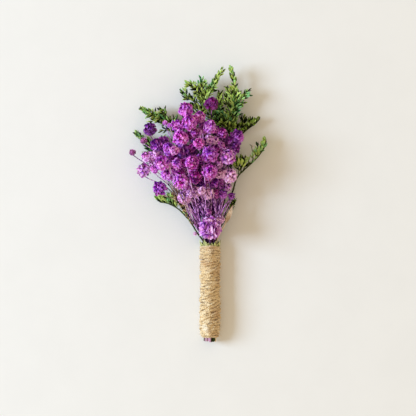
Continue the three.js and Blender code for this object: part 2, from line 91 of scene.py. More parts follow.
# Turns that cross over the others: where along the handle they start and end, how many turns
# they take, and the angle at which they start.
LOOSE_TURNS = [
    (-20.5, -4, 1.7, 3.6), (-15.5, -5.5, 1.2, 3.9), (-12, -1, 1.4, 4.6),
    (-8, 16.5, 2.2, 2.2), (3, 12.5, 1.6, 5.2), (21.4, 17.6, 1.2, 4.4),
]
LOOSE_THICKNESS = 0.85
FIBRES = 520
FIBRE_STEPS = 5
TAPE_RADIUS = 3.7
TAPE_THICKNESS = 0.22
TAPE_FOOT = -MOUTH + 5.5
TAPE_RIM = MOUTH + 1.1
TAPE_POINTS = 30
TAPE_POINT_HEIGHT = 1.7

# Stems
STEM_PITCH = 1.08
ROW_PITCH = STEM_PITCH * math.sin(math.pi / 3)
FAN_START = MOUTH + 2.2
FAN_STEPS = 4
STALK_STEPS, TWIG_STEPS, SIDE_TWIG_STEPS = 14, 8, 4
NODE_SPACING = 6
NEAR_FORK = 50
# Radii at the foot and the tip
SPRAY_STEM, BLOOM_STEM, SPRIG_STEM, LEAF_STEM = (0.5, 0.32), (0.5, 0.34), (0.52, 0.26), (0.5, 0.24)
HEAD_STALK, BARE_STALK = (0.26, 0.18), (0.28, 0.12)
TWIG, BEAD_TWIG, STEM_SIDE_TWIG, SIDE_TWIG = (0.3, 0.18), (0.22, 0.14), (0.24, 0.14), (0.2, 0.12)
BRANCHLET_FOOT, BRANCHLET_TIP = 0.13, 0.08

# Flower heads
DOME_CENTRE = (-8, 66)
DOME_SPAN = (34, 44)
DOME_RIM = 7
DOME_RISE = 16
UNDER_LEVEL = 9
HEAD_FULLNESS = 1.16
HEAD_GAP = 0.35
LOW_SUNK = 4
HOME_SHARE = 0.85
SETTLE_ROUNDS = 60
BUD_RADIUS = 2.1
PETALS_PER_MILLIMETRE, LEAST_PETALS = 24, 8
BUD_PETALS = 26
BLOOM_PETALS = 300
NEAR_STALKS, FAR_STALKS = 18, 11
# Heads in gaps: the least radius of the two heads beside a gap, how far apart these may stand,
# how deep the gap's head lies, the number of heads to be passed round it within a reach, and how
# far such heads stand apart.
GAP_BESIDE = 2.6
GAP_SPAN = 11.5
GAP_DEPTH = 2.2
GAP_ROUND, GAP_REACH = 4, 9
GAP_CLEARANCE = 4

# Green sprigs
BRACT_REACH = 2.7
SPIKELET_REACH = 3
SPIKELETS = 3
BRANCHLET_STEP = 0.8
SIDE_TWIG_STEP = 3.2
SIDE_TWIGS_END = 0.86
LONG_TWIG = 9
TWIG_CLEARANCE, BRANCHLET_CLEARANCE, SPIKELET_CLEARANCE = 1.4, 0.9, 0.5
# The angles at which branchlets and beads stand round their stem in turn, from straight up
BRANCHLET_SIDES = (1.4, -1.5, 0.5, -0.7, 2.4, -2.4)
BEAD_SIDES = (1.3, -1.3, 0.2)

# Seeds of the random draws, and how many different shapes of each kind are made
SHAPE_SEED, BLOOM_SEED, SPRAY_SEED, SPRIG_SEED = 11, 7, 100, 200
PETAL_KINDS, STRAP_KINDS, SPIKELET_KINDS, POINT_KINDS = 8, 6, 6, 4

# Stage, in metres and watts. The picture is as wide as the view at the view's height.
CARD_SIZE = 1.5
WINDOW_TARGET = Vector((0, 0.045, 0.01))
WINDOW_WAY = Vector((-0.86, 0.06, 0.53)) * 2
WINDOW_SIZE = 0.86
WINDOW_POWER = 46.5
WINDOW_COLOUR = (0.61, 0.784, 1.0)
ROOM_COLOUR = (1.0, 0.84, 0.615, 1)
ROOM_STRENGTH = 0.68
CAMERA_X, CAMERA_Y = -0.00101, 0.04245
VIEW_WIDTH, VIEW_HEIGHT = 0.2102, 0.012
FOCAL_LENGTH, SENSOR_WIDTH = 180, 36

# A tint is how far the dye goes from violet to crimson, and how far it is bleached, or darkened
# where that is below nought. A hue past 1.2 is dull, as buds are that dried before they opened.
# The pale tint is bleached past the dye as painted light: sunk heads given it look lit in the shade
# they lie in.
TINTS = {
    "blue": (0.0, -0.05), "violet": (0.22, -0.08), "dark": (0.2, -0.5), "night": (0.08, -0.75),
    "lilac": (0.3, 0.55), "heather": (0.36, 0.28), "orchid": (0.26, 0.4), "mist": (0.22, 0.6),
    "magenta": (0.5, 0.1), "pink": (0.6, 0.45), "rose": (0.42, 0.85), "pale": (0.5, 1.5),
    "faded": (1.6, 1.3), "dusk": (1.42, 0.05), "plum": (0.6, -0.35), "wine": (0.65, -0.8),
    "crimson": (0.75, -0.2),
}

# Flower sprays: the stem's column and row in the bundle, the point where it forks, and its heads
# as (x, y, radius, tint, and how far it is sunk below its level, if it is). "early" is how many
# steps of the fan a stalk leaves the stem early, from least to most. "over" has thin stalks that
# pass over the heads, as (tip x, y, radius). An "under" spray lies below the dome.
SPRAYS = {
    "spray_near_left": dict(
        slot=(-1.5, 2), fork=(-12.4, 40.2, 11.8), early=(0, 0.7),
        over=[(-23.5, 71.4, 0.2), (-22.4, 66.4, 0.2), (-17.6, 60.6, 0.2)],
        heads=[
            (-25.4, 52.7, 3.6, "violet"), (-32.9, 61.5, 3.5, "mist"), (-21.2, 59.4, 3.5, "heather"),
            (-27.8, 62.4, 2.2, "heather", -0.5), (-39.2, 70.6, 1.35, "dusk"),
            (-7.6, 29.4, 0.8, "faded", 4.5),
        ],
    ),
    "spray_near_middle_left": dict(
        slot=(-0.5, 2), fork=(-8, 39, 12),
        over=[(-14.6, 76.6, 0.2)],
        heads=[
            (-12.5, 48.6, 3.6, "rose"), (-14.1, 56.4, 4, "heather"), (-16.2, 64.8, 3.1, "heather"),
        ],
    ),
    "spray_near_middle_right": dict(
        slot=(0.5, 2), fork=(-3, 39, 12),
        over=[(-3.6, 79.6, 0.2)],
        heads=[
            (-7.3, 50.7, 3.3, "pale"), (-1.1, 50.1, 3.1, "pale"), (-7.4, 58.4, 3.4, "plum"),
            (-9.4, 65.4, 3.6, "magenta"), (-2.9, 55.8, 2.5, "dark", 4),
            (-10, 49.8, 2.2, "rose", -0.5), (-4.2, 50.8, 2.2, "pale", -0.6),
        ],
    ),
    "spray_near_right": dict(
        slot=(1.5, 2), fork=(4, 39.5, 11.6),
        over=[(-11.7, 56.9, 0.3), (-1, 58, 0.26)],
        heads=[
            (2.1, 55.3, 2.8, "violet", 4), (-0.1, 61, 4.2, "magenta"), (9.4, 58.9, 3.8, "pale"),
            (6.4, 49.4, 2.3, "blue", 3), (10.6, 48.5, 2, "blue", 5), (8.6, 53, 2.4, "lilac", 4.5),
        ],
    ),
    "spray_far_left": dict(
        slot=(-2, 1), fork=(-19, 61.5, 12.2),
        heads=[
            (-23.8, 65, 3.7, "heather"), (-26.3, 69.6, 3.1, "rose"), (-32, 67.8, 2.8, "lilac"),
            (-33.5, 76.4, 1.4, "dusk"), (-30.2, 81.9, 3.3, "night"), (-29, 63.8, 2.6, "pale", 1.5),
        ],
    ),
    "spray_far_middle_left": dict(
        slot=(-1, 1), fork=(-15.2, 61, 12.4),
        heads=[
            (-26.1, 73.9, 3.6, "dark"), (-20.7, 72.3, 3.3, "violet"), (-22.6, 85.3, 1, "orchid"),
            (-20.2, 84, 0.95, "orchid"), (-16.1, 83.7, 3.1, "heather"), (-19.4, 66, 2.8, "pink", 1),
        ],
    ),
    "spray_far_middle": dict(
        slot=(0, 1), fork=(-9.4, 61, 12.6),
        heads=[
            (-13.5, 70.8, 4, "dark"), (-14.1, 77.2, 3.8, "magenta"), (-10.4, 84.4, 4, "magenta"),
            (-12.2, 91.4, 3.8, "magenta"), (-12.4, 61.6, 2.7, "pale", 1),
            (-9, 70.2, 2.7, "violet", 5), (-18, 71.2, 2.4, "pink", -2.5),
        ],
    ),
    "spray_far_middle_right": dict(
        slot=(1, 1), fork=(-2.5, 61, 12.4),
        heads=[
            (-5.3, 74.6, 3.1, "crimson"), (-7, 80, 3.2, "lilac"), (-5.3, 87.7, 3.1, "pink"),
            (-0.6, 69.2, 4.3, "violet"), (-0.3, 76.8, 2.9, "rose"), (-0.1, 82.6, 3.6, "heather"),
            (0.9, 95, 3.4, "wine"), (-4.6, 62.8, 2.7, "violet", 6), (-3.2, 84.4, 2.6, "violet", 5),
        ],
    ),
    "spray_far_right": dict(
        slot=(2, 1), fork=(6.6, 61.5, 12.2),
        heads=[
            (8.1, 68.3, 4.3, "lilac"), (5.3, 74, 2.3, "pink"), (6.1, 80.1, 2.8, "plum"),
            (12.3, 72.8, 2.8, "dark"), (13.8, 77.4, 3.8, "violet"), (3.8, 65.4, 2.7, "pale", 0.8),
            (9.2, 74.4, 2.6, "dark", 5),
        ],
    ),
    "spray_under_left": dict(
        slot=(-1.5, 0), fork=(-16, 56, 7.2), under=True,
        heads=[(-21.8, 60, 2.8, "violet"), (-20.5, 68, 3, "dark"), (-22.8, 76.4, 2.6, "violet")],
    ),
    "spray_under_middle": dict(
        slot=(-0.5, 0), fork=(-7, 58, 7.4), under=True,
        heads=[
            (-11.8, 55.6, 2.8, "plum", 1.6), (-12, 67.5, 3.1, "dark"), (-6.5, 77.4, 3, "violet"),
            (-15, 80.6, 2.8, "plum"),
        ],
    ),
    "spray_under_right": dict(
        slot=(0.5, 0), fork=(2, 58, 7.4), under=True,
        heads=[(1, 57, 2.9, "dark"), (-0.4, 68.5, 3, "violet"), (6.6, 78.6, 2.9, "dark")],
    ),
}

# The large low bloom and its two side heads: (x, y, z, radius, tint).
BLOOM_SLOT = (0, 3)
BLOOM = (0.2, 32.5, 15.4, 5.3, "orchid")
BLOOM_SIDES = [(-0.7, 40.2, 13.4, 2, "magenta"), (4.8, 36.8, 13.2, 2.7, "pale")]

# Green sprigs: the slot in the bundle, the stem's path above the handle, how many of the path's
# points are bare (2 unless told), and twigs as (tip x, y, z, where on the path it leaves, counted
# in points from 0, and how much larger its spikelets are, if they are). "size" is the spikelets'
# size, "gap" how far apart they stand, and "tone" how light they are. With "towards" the stem's
# own spikelets stand on that side, and no side twigs grow. "beads" has twigs of dry beads, as the
# bare share of each and its path.
SPRIGS = {
    "sprig_top_right": dict(
        slot=(1, -1),
        path=[
            (3.2, 40, 3.4), (5, 60, 3.2), (6.6, 71, 3.6), (8.6, 79, 4.4), (11.4, 87.5, 5.6),
            (12.6, 96, 6.8), (12.6, 105, 7.8), (10.4, 114.2, 8.8),
        ],
        twigs=[
            (19.5, 102.9, 7.6, 4.3), (8.4, 104.4, 8.2, 4.8), (8, 101, 5.8, 3.5),
            (6, 93.5, 4.6, 2.6),
        ],
    ),
    "sprig_top_centre": dict(
        slot=(0.5, -2),
        path=[
            (1.2, 40, 2.1), (2, 60, 1.9), (2.8, 76, 2.2), (3, 87, 3.4), (4.2, 95, 4.8),
            (5.2, 101.6, 5.6),
        ],
        twigs=[(-1, 95.5, 4.4, 2.5), (7, 90, 2.6, 2.2)],
    ),
    "sprig_top_middle": dict(
        slot=(0, -1),
        path=[
            (-1.2, 40, 3.6), (-3, 60, 3.4), (-4, 78, 3.8), (-4, 90, 5.4), (-2.6, 98, 7),
            (1, 104.6, 8), (6.8, 113.2, 9),
        ],
        twigs=[
            (-4.2, 109.4, 8.8, 3.2), (-12, 107.2, 8, 3.8), (-14.5, 102.3, 5.6, 2.9),
            (-11.6, 95, 4, 2.6),
        ],
    ),
    "sprig_upper_left": dict(
        slot=(-1, -1), size=0.88, tone=0.1,
        path=[
            (-4, 38, 3.4), (-11, 60, 2.9), (-14.6, 75, 3), (-18, 84, 3.8), (-24.4, 87.8, 4.6),
            (-30.2, 90.4, 5.4), (-35.7, 93.4, 6.2),
        ],
        twigs=[
            (-26, 93.2, 6.2, 3.1, 1.2), (-31.8, 86, 4.6, 4), (-18, 89.6, 5.6, 2.8, 1.15),
            (-26, 82.2, 3.2, 2.6), (-12, 90, 3.6, 2.3),
        ],
    ),
    "sprig_left": dict(
        slot=(-2, -1), tone=0.2,
        path=[
            (-7, 38, 3.2), (-17, 56, 2.3), (-24.6, 67, 1.6), (-31, 74.6, 2.2), (-38.4, 81.4, 3.6),
        ],
        twigs=[(-34.2, 70.6, 2.2, 2.2), (-24.3, 79.6, 2.4, 2.1)],
    ),
    "sprig_right": dict(
        slot=(2, -1), size=1.1, towards=(-0.35, 1, 0.3),
        path=[
            (6, 40, 3), (9.6, 58, 2), (12.4, 70, 1.5), (14.4, 77.6, 2), (19.4, 82.8, 3.4),
            (25.7, 87.3, 4.8),
        ],
        twigs=[(17.4, 89.6, 3.6, 3.1), (21.6, 88.4, 4.2, 3.9), (13, 86.4, 2.4, 2.5)],
    ),
    "sprig_low_right": dict(
        slot=(1.5, 0), bare=6.2, size=0.85, towards=(-0.5, 1, 0.25), tone=0.45,
        path=[
            (4.6, 32, 4.9), (8, 41, 4.6), (11.2, 50, 4.4), (13.4, 57, 4.5), (18, 62.4, 5),
            (23.4, 67.6, 5.6), (27.3, 72.3, 6.2), (29.2, 78.5, 7),
        ],
        twigs=[
            (27, 76.8, 7, 5.8), (25.8, 74, 7.2, 5.4), (24.3, 75.8, 6.8, 5.1),
            (23.2, 72.6, 6.8, 4.9), (21.9, 71.2, 6.8, 4.6), (19.8, 69, 6, 4.2),
            (17.4, 68.6, 5.8, 3.8, 1.3), (14.8, 69.2, 5.6, 3.5, 1.5), (12.8, 67.4, 5.4, 3.3, 1.2),
        ],
        beads=[(0.9, [(21.9, 66, 5.2), (21.7, 70, 6), (21, 74.4, 6.6)])],
    ),
    "sprig_low_left": dict(
        slot=(-2.5, 0), bare=3.2, gap=1.3, size=1.25, towards=(-0.1, 1, 0.2), tone=0.4,
        path=[
            (-6.3, 29.6, 4.6), (-11, 36.6, 4.2), (-15.6, 41.7, 3.9), (-21.4, 44.7, 3.5),
            (-27.6, 45.8, 3.6),
        ],
        twigs=[(-25.6, 49.8, 4, 3.1), (-21, 49.8, 4.2, 2.3)],
        beads=[
            (0.05, [(-8.6, 33.4, 10.6), (-13.2, 40.6, 12.6), (-18.8, 49.4, 13)]),
            (0.3, [(-8.2, 34.4, 11.6), (-11.8, 40.6, 13), (-16, 48.4, 13.6)]),
        ],
    ),
    "sprig_small_right": dict(
        slot=(1.5, -2), bare=2.4, size=0.6,
        path=[(5, 32, 2.3), (9, 39, 2.5), (10.9, 43, 2.7), (13.2, 47.8, 3.2)],
    ),
}

# A dry straw-coloured leaf at the right of the mouth.
LEAF_SLOT = (2.5, 0)
LEAF_STALK = [(5.8, 31, 6.2), (8.2, 35.4, 8.6)]
LEAF_TIP = (11.6, 44.4, 11)
LEAF_WIDTH = 2.3


# Finishes


def dye(red, green, blue):
    """A screen colour as the linear colour that a shader takes."""
    linear = [
        c / 12.92 if c <= 0.04045 else ((c + 0.055) / 1.055) ** 2.4
        for c in (red / 255, green / 255, blue / 255)
    ]
    return (*linear, 1)


class Level:
    """A number or colour that varies over a surface. Arithmetic on it adds Math nodes."""

    def __init__(self, finish, socket):
        self.finish, self.socket = finish, socket

    def __add__(self, other):
        return self.finish.maths("ADD", self, other)

    def __sub__(self, other):
        return self.finish.maths("SUBTRACT", self, other)

    def __rsub__(self, other):
        return self.finish.maths("SUBTRACT", other, self)

    def __mul__(self, other):
        return self.finish.maths("MULTIPLY", self, other)

    __radd__ = __add__
    __rmul__ = __mul__

    def between(self, low, high):
        """0 below the low value, 1 above the high one, and smooth between them."""
        inputs = {"Value": self, "From Min": low, "From Max": high}
        return self.finish.add("ShaderNodeMapRange", {"interpolation_type": "SMOOTHSTEP"}, inputs)

    def blend(self, first, second, most=1):
        """The first colour where this is 0 and at most so much of the second where it is 1.
        A colour varies over the surface or is (red, green, blue) up to 255."""
        first, second = (dye(*c) if isinstance(c, tuple) else c for c in (first, second))
        inputs = {"Factor": self * most if most < 1 else self, "A": first, "B": second}
        return self.finish.add("ShaderNodeMix", {"data_type": "RGBA"}, inputs, "Result")


class Finish:
    """A material under making."""

    def __init__(self, name, roughness, specular=0.5, sheen=0.0):
        self.material = bpy.data.materials.new(name)
        self.material.use_nodes = True
        self.nodes = self.material.node_tree.nodes
        self.links = self.material.node_tree.links
        self.shader = self.nodes["Principled BSDF"]
        self.shader.inputs["Roughness"].default_value = roughness
        self.shader.inputs["Specular IOR Level"].default_value = specular
        self.shader.inputs["Sheen Weight"].default_value = sheen
        self.place = self.add("ShaderNodeTexCoord", output="Object")

    def add(self, kind, settings=None, inputs=None, output=0):
        """A node of any kind: its settings first, then the values or links of its sockets."""
        node = self.nodes.new(kind)
        for name, value in (settings or {}).items():
            setattr(node, name, value)
        for key, value in (inputs or {}).items():
            socket = self.pick(node.inputs, key)
            if isinstance(value, Level):
                self.links.new(value.socket, socket)
            else:
                socket.default_value = value
        return Level(self, self.pick(node.outputs, output))

    def pick(self, sockets, key):
        """The socket in use with that number or name."""
        used = [s for s in sockets if s.enabled]
        return used[key] if isinstance(key, int) else next(s for s in used if s.name == key)

    def maths(self, operation, *numbers):
        """A Math node on numbers or levels."""
        return self.add("ShaderNodeMath", {"operation": operation}, dict(enumerate(numbers)))

    def tone(self, name):
        """A number that the piece's mesh carries."""
        return self.add("ShaderNodeAttribute", {"attribute_name": name}, output="Fac")

    def coordinate(self, axis):
        """Where a point lies along X, Y or Z, in metres."""
        return self.add("ShaderNodeSeparateXYZ", None, {"Vector": self.place}, axis)

    def stretched(self, scale):
        """Object coordinates, drawn out where the scale is below 1, for streaks."""
        return self.add("ShaderNodeMapping", None, {"Vector": self.place, "Scale": scale}, "Vector")

    def grain(self, size, detail=2, place=None):
        """Noise whose features are about that many millimetres across."""
        scale = 1 / (size * MILLIMETRE)
        inputs = {"Vector": place or self.place, "Scale": scale, "Detail": detail, "Roughness": 0.6}
        return self.add("ShaderNodeTexNoise", None, inputs)

    def colour(self, level):
        """Gives the surface its colour."""
        self.links.new(level.socket, self.shader.inputs["Base Color"])
        return self

    def relief(self, height, depth, strength=1.0):
        """Fine relief, up to that many millimetres deep."""
        inputs = {"Height": height, "Distance": depth * MILLIMETRE, "Strength": strength}
        normal = self.add("ShaderNodeBump", None, inputs)
        self.links.new(normal.socket, self.shader.inputs["Normal"])
        return self


def layered(base, *layers):
    """Colours over one another, from (where, colour, at most how much of it)."""
    for where, colour, *most in layers:
        base = where.blend(base, colour, *most)
    return base


def petal_paper():
    """Dyed dry petals: dark at the claw, partly from the dye and partly as painted shade between
    the petals, paler to the ruffled edge, patchy with uneven dye.
    """
    finish = Finish("petal_paper", 0.75, specular=0.04)
    tint, pale, along = map(finish.tone, ("hue", "pale", "along"))
    patch, crumple = finish.grain(3.6) - 0.5, finish.grain(0.55, 3) - 0.5
    hue = tint + patch * 1.7
    deep = hue.blend((48, 2, 76), (80, 0, 60))
    full = hue.blend((154, 42, 204), (244, 46, 192))
    edge = hue.blend((224, 146, 248), (255, 158, 236))
    # Dark at the claw: partly the dye, partly painted shade between the petals.
    body = (along + crumple * 0.5).between(0.12, 0.7).blend(deep, full)
    tipped = (along + crumple * 0.8).between(0.5, 1.0).blend(body, edge, 0.95)
    dusty = along.blend((84, 46, 82), (176, 122, 166))
    tipped = tint.between(1.2, 1.5).blend(tipped, dusty)
    bleach = (pale + patch * 0.9 + crumple * 0.3).between(0.1, 1.1) * along.between(0.15, 0.8)
    bleached = bleach.blend(tipped, (255, 212, 248), 0.85)
    soaked = (0 - pale - patch * 0.5).between(-0.05, 0.75)
    finish.colour(soaked.blend(bleached, deep, 0.8))
    return finish.relief(finish.grain(0.3), 0.12, 0.5).material


def dyed_stem():
    """Thin mauve stems with pale streaks: paler where they are cut, darkened low in the mass as
    painted shade, dry and brown low at the left, and green at the right of the cut ends."""
    finish = Finish("dyed_stem", 0.6, specular=0.06)
    streak = finish.grain(0.5, 3, finish.stretched((1, 0.06, 1)))
    stem = finish.grain(1.3, 1, finish.stretched((1, 0.04, 1)))
    across, ahead, height = map(finish.coordinate, "XYZ")
    light = (streak * 0.5 + stem * 0.5).between(0.45, 0.55)
    mauve = light.blend((72, 4, 90), (240, 174, 250))
    bleached = stem.between(0.56, 0.62) * (1 - across.between(-0.013, -0.006))
    cut_end = 1 - ahead.between(-0.0235, -0.022)
    # Painted shade: stems are darkened where they lie low, except at the cut ends.
    inner = (1 - height.between(0.006, 0.0112)) * (1 - cut_end)
    left = (1 - across.between(-0.014, -0.01)) * (1 - ahead.between(0.05, 0.058))
    dry = light.blend((62, 40, 36), (204, 172, 140))
    undyed = across.between(0.0002, 0.0008) * (1 - ahead.between(0, 0.02))
    green = streak.between(0.4, 0.65).blend((34, 48, 20), (78, 92, 44))
    colour = layered(
        mauve,
        (finish.grain(5).between(0.5, 0.7), (132, 40, 140), 0.4),
        (bleached, (222, 200, 168), 0.8),
        (cut_end, (196, 158, 166), 0.8),
        # The painted shade low in the mass.
        (inner, (46, 6, 42), 0.9),
        (left, dry, 0.85),
        (undyed, green),
    )
    return finish.colour(colour).relief(streak, 0.08).material


def green_bract():
    """Dry bracts from olive to teal, darker at the foot, partly as painted shade between them, with
    pale thin edges. Their pale tone is partly painted light and shade. A hue past 1.3 is a
    straw-coloured husk."""
    finish = Finish("green_bract", 0.6, specular=0.05)
    hue, pale, along, across = map(finish.tone, ("hue", "pale", "along", "across"))
    patch, fleck = finish.grain(11) - 0.5, finish.grain(0.6, 3) - 0.5
    teal = (hue + patch * 3.2).between(0.25, 1.05)
    deep = teal.blend((6, 18, 0), (0, 26, 12))
    full = teal.blend((122, 168, 46), (50, 148, 84))
    edge = teal.blend((218, 240, 132), (158, 228, 156))
    # Darker at the foot: partly the bract's colour, partly painted shade between the spikelets.
    body = (along + fleck * 0.5).between(0.45, 0.85).blend(deep, full)
    rim = (across * across + fleck * 0.8).between(0.35, 1.0) * along.between(0.2, 0.6)
    edged = rim.blend(body, edge, 0.85)
    # Painted light and shade: a low pale tone darkens a spikelet towards deep, and a high one
    # lightens it towards edge. The patches add random tone.
    shaded = (0 - pale - patch).between(-0.2, 0.42).blend(edged, deep, 0.95)
    bright = (pale + fleck).between(0.35, 0.85).blend(shaded, edge, 0.8)
    husk = along.blend((88, 62, 38), (206, 180, 132))
    finish.colour(hue.between(1.3, 1.6).blend(bright, husk))
    return finish.relief(finish.grain(0.35), 0.1, 0.5).material


def green_stem():
    """Dark green stems with brown patches."""
    finish = Finish("green_stem", 0.6, specular=0.2)
    streak = finish.grain(0.6, 3, finish.stretched((1, 0.15, 1)))
    green = streak.between(0.35, 0.7).blend((24, 36, 8), (84, 98, 40))
    finish.colour(finish.grain(6).between(0.5, 0.72).blend(green, (112, 84, 52), 0.7))
    return finish.relief(streak, 0.08).material


def jute():
    """Jute plies: straw fibres with pale, worn and dark lengths, and one painted glint near the cut
    ends.
    """
    finish = Finish("jute", 0.85, sheen=0.3)
    around_handle = finish.stretched((0.45, 1.15, 0.45))
    fibre = finish.grain(0.28, 4, around_handle)
    ends = {0: finish.place, 1: GLINT_SPOT}
    away = finish.add("ShaderNodeVectorMath", {"operation": "DISTANCE"}, ends, "Value")
    colour = layered(
        fibre.between(0.34, 0.66).blend((204, 163, 104), (255, 234, 186)),
        (finish.grain(2.4).between(0.42, 0.7), (255, 240, 206), 0.6),
        (finish.grain(9).between(0.5, 0.7), (196, 150, 96), 0.5),
        (finish.grain(1, 2, around_handle).between(0.5, 0.64), (138, 102, 52), 0.7),
        # The painted glint: a near-white spot about the point given above.
        (1 - (away + (fibre - 0.5) * 0.002).between(0.001, 0.0026), (255, 246, 224), 0.7),
    )
    return finish.colour(colour).relief(fibre, 0.25).material


def crepe_tape():
    """Pale green paper tape with fine creases and random darker patches, dark green as painted
    shade on the torn sleeve between its points, brown under the twine.
    """
    finish = Finish("crepe_tape", 0.75)
    crease = finish.grain(0.4, 3, finish.stretched((1, 0.3, 1)))
    covered = 1 - finish.coordinate("Y").between(0.0226, 0.0234)
    light = crease.between(0.35, 0.65).blend((174, 184, 78), (253, 251, 182))
    # The sleeve carries no pale tone, so it takes the dark green: painted shade between the points.
    paleness_and_painted_shade = finish.tone("pale") - finish.grain(1.3).between(0.55, 0.7)
    base = paleness_and_painted_shade.blend((44, 60, 14), light)
    return finish.colour(covered.blend(base, (112, 84, 46))).relief(crease, 0.15).material


def straw_leaf():
    """A dry leaf with fine veins along it, its straw paler than its own as painted light against
    the shade the flowers cast on it.
    """
    finish = Finish("straw_leaf", 0.6)
    across, along = map(finish.tone, ("across", "along"))
    vein = finish.maths("SINE", across * 26)
    # Painted light: the straw colours are paler than the leaf, to offset the flowers' shade.
    colour = layered(
        (vein * 0.5 + 0.5).blend((246, 204, 158), (255, 238, 204)),
        (finish.grain(2.5, 3).between(0.58, 0.75), (214, 158, 112), 0.5),
        (along.between(0.8, 1.0), (160, 106, 66), 0.6),
    )
    return finish.colour(colour).relief(vein, 0.06).material


def pale_surface():
    """The off-white card that the boutonniere lies on."""
    finish = Finish("pale_surface", 0.9)
    mottle = finish.grain(30, 3).between(0.3, 0.7)
    return finish.colour(mottle.blend((237, 236, 233), (239, 238, 235))).material


# Shapes


def curve_point(points, share):
    """A point on the centripetal curve through the points, bent as the CAD bends its stems."""
    spans = len(points) - 1
    span = min(int(share * spans), spans - 1)
    t = share * spans - span
    p1, p2 = points[span], points[span + 1]
    p0 = points[span - 1] if span else 2 * p1 - p2
    p3 = points[span + 2] if span + 2 <= spans else 2 * p2 - p1
    d0, d1, d2 = ((b - a).length ** 0.5 for a, b in ((p0, p1), (p1, p2), (p2, p3)))
    m1 = ((p1 - p0) / d0 - (p2 - p0) / (d0 + d1) + (p2 - p1) / d1) * d1
    m2 = ((p2 - p1) / d1 - (p3 - p1) / (d1 + d2) + (p3 - p2) / d2) * d1
    c1, c2 = 2 * t**3 - 3 * t**2 + 1, 3 * t**2 - 2 * t**3
    return c1 * p1 + (t**3 - 2 * t**2 + t) * m1 + c2 * p2 + (t**3 - t**2) * m2


def curve_heading(points, share):
    """The direction in which the curve runs."""
    before, after = max(0, share - 0.002), min(1, share + 0.002)
    return (curve_point(points, after) - curve_point(points, before)).normalized()


def curve_length(points):
    """The length of the curve, in 60 straight parts."""
    places = [curve_point(points, k / 60) for k in range(61)]
    return sum((b - a).length for a, b in zip(places, places[1:]))


def square_to(heading, rng=None):
    """Two unit vectors square to a heading and to each other."""
    across = heading.cross(UP if abs(heading.z) < 0.9 else AHEAD).normalized()
    if rng:
        across.rotate(Matrix.Rotation(rng.uniform(0, 2 * math.pi), 3, heading))
    return across, across.cross(heading).normalized()


def squared(vector, axis):
    """The direction nearest to a vector that is square to an axis."""
    return (vector - axis * vector.dot(axis)).normalized()


def swung(first, second, angle):
    """A direction turned by an angle from the first of two square directions to the second."""
    return first * math.cos(angle) + second * math.sin(angle)


def scatter(rng, reach=1):
    """A random vector, each of its parts up to the reach either way."""
    return Vector([rng.uniform(-reach, reach) for _ in range(3)])


def placed(along, facing, origin, scale, across=None):
    """The matrix that puts a shape's Y on `along`, its Z on `facing` and its X square to both
    unless told, at an origin."""
    across = along.cross(facing) if across is None else across
    axes = [axis * s for axis, s in zip((across, along, facing), scale)]
    return Matrix.Translation(origin) @ Matrix(axes).transposed().to_4x4()


def mesh_of(bm, name="part"):
    """A mesh of smooth faces that meet in crisp edges where they fold sharply."""
    for face in bm.faces:
        face.smooth = True
    for edge in bm.edges:
        edge.smooth = edge.calc_face_angle(0) < CREASE_ANGLE
    mesh = bpy.data.meshes.new(name)
    bm.to_mesh(mesh)
    bm.free()
    return mesh


def toned():
    """An empty shape whose points carry tones for the petal and bract finishes."""
    bm = bmesh.new()
    for tone in ("across", "along", "hue", "pale"):
        bm.verts.layers.float.new(tone)
    return bm


def lay(bm, shape, place, **tones):
    """Adds a small shape at its place, with its own tones."""
    copy = shape.copy()
    copy.transform(place)
    for tone, value in tones.items():
        copy.attributes[tone].data.foreach_set("value", [value] * len(copy.vertices))
    bm.from_mesh(copy)
    bpy.data.meshes.remove(copy)


def lay_once(bm, part, place, **tones):
    """Adds a shape that is used here only."""
    shape = mesh_of(part)
    lay(bm, shape, place, **tones)
    bpy.data.meshes.remove(shape)


def blade(columns, rows, form, thickness, foot_tone=0.0):
    """A thin closed blade along Y, its two faces joined at the rim. The form gives the place of
    each point from how far it is across, -1 to 1, and along, 0 to 1."""
    bm = toned()
    across, along = (bm.verts.layers.float[tone] for tone in ("across", "along"))
    bmesh.ops.create_grid(bm, x_segments=columns, y_segments=rows, size=1)
    # Each corner's face is cut in two, so that none has all its points on the rim, where the
    # blade's two sides meet.
    for corner in [v for v in bm.verts if len(v.link_edges) == 2]:
        face = corner.link_faces[0]
        inner = max(face.verts, key=lambda v: (v.co - corner.co).length)
        bmesh.utils.face_split(face, corner, inner)
    for v in bm.verts:
        far = (v.co.y + 1) / 2
        v[across], v[along] = v.co.x, foot_tone + (1 - foot_tone) * far
        v.co = form(v.co.x, far)
    back = bmesh.ops.duplicate(bm, geom=bm.verts[:] + bm.edges[:] + bm.faces[:])["geom"]
    bmesh.ops.reverse_faces(bm, faces=[g for g in back if isinstance(g, bmesh.types.BMFace)])
    for v in (g for g in back if isinstance(g, bmesh.types.BMVert)):
        far = (v[along] - foot_tone) / (1 - foot_tone)
        belly = max(0, (1 - v[across] ** 2) * 4 * far * (1 - far))
        v.co.z -= thickness * math.sqrt(belly)
    bmesh.ops.remove_doubles(bm, verts=bm.verts[:], dist=BLADE_WELD)
    bmesh.ops.dissolve_degenerate(bm, edges=bm.edges[:], dist=BLADE_WELD)
    return mesh_of(bm)


def eased(t):
    """0 up to 0, 1 from 1, and smooth between them."""
    t = min(max(t, 0), 1)
    return t * t * (3 - 2 * t)


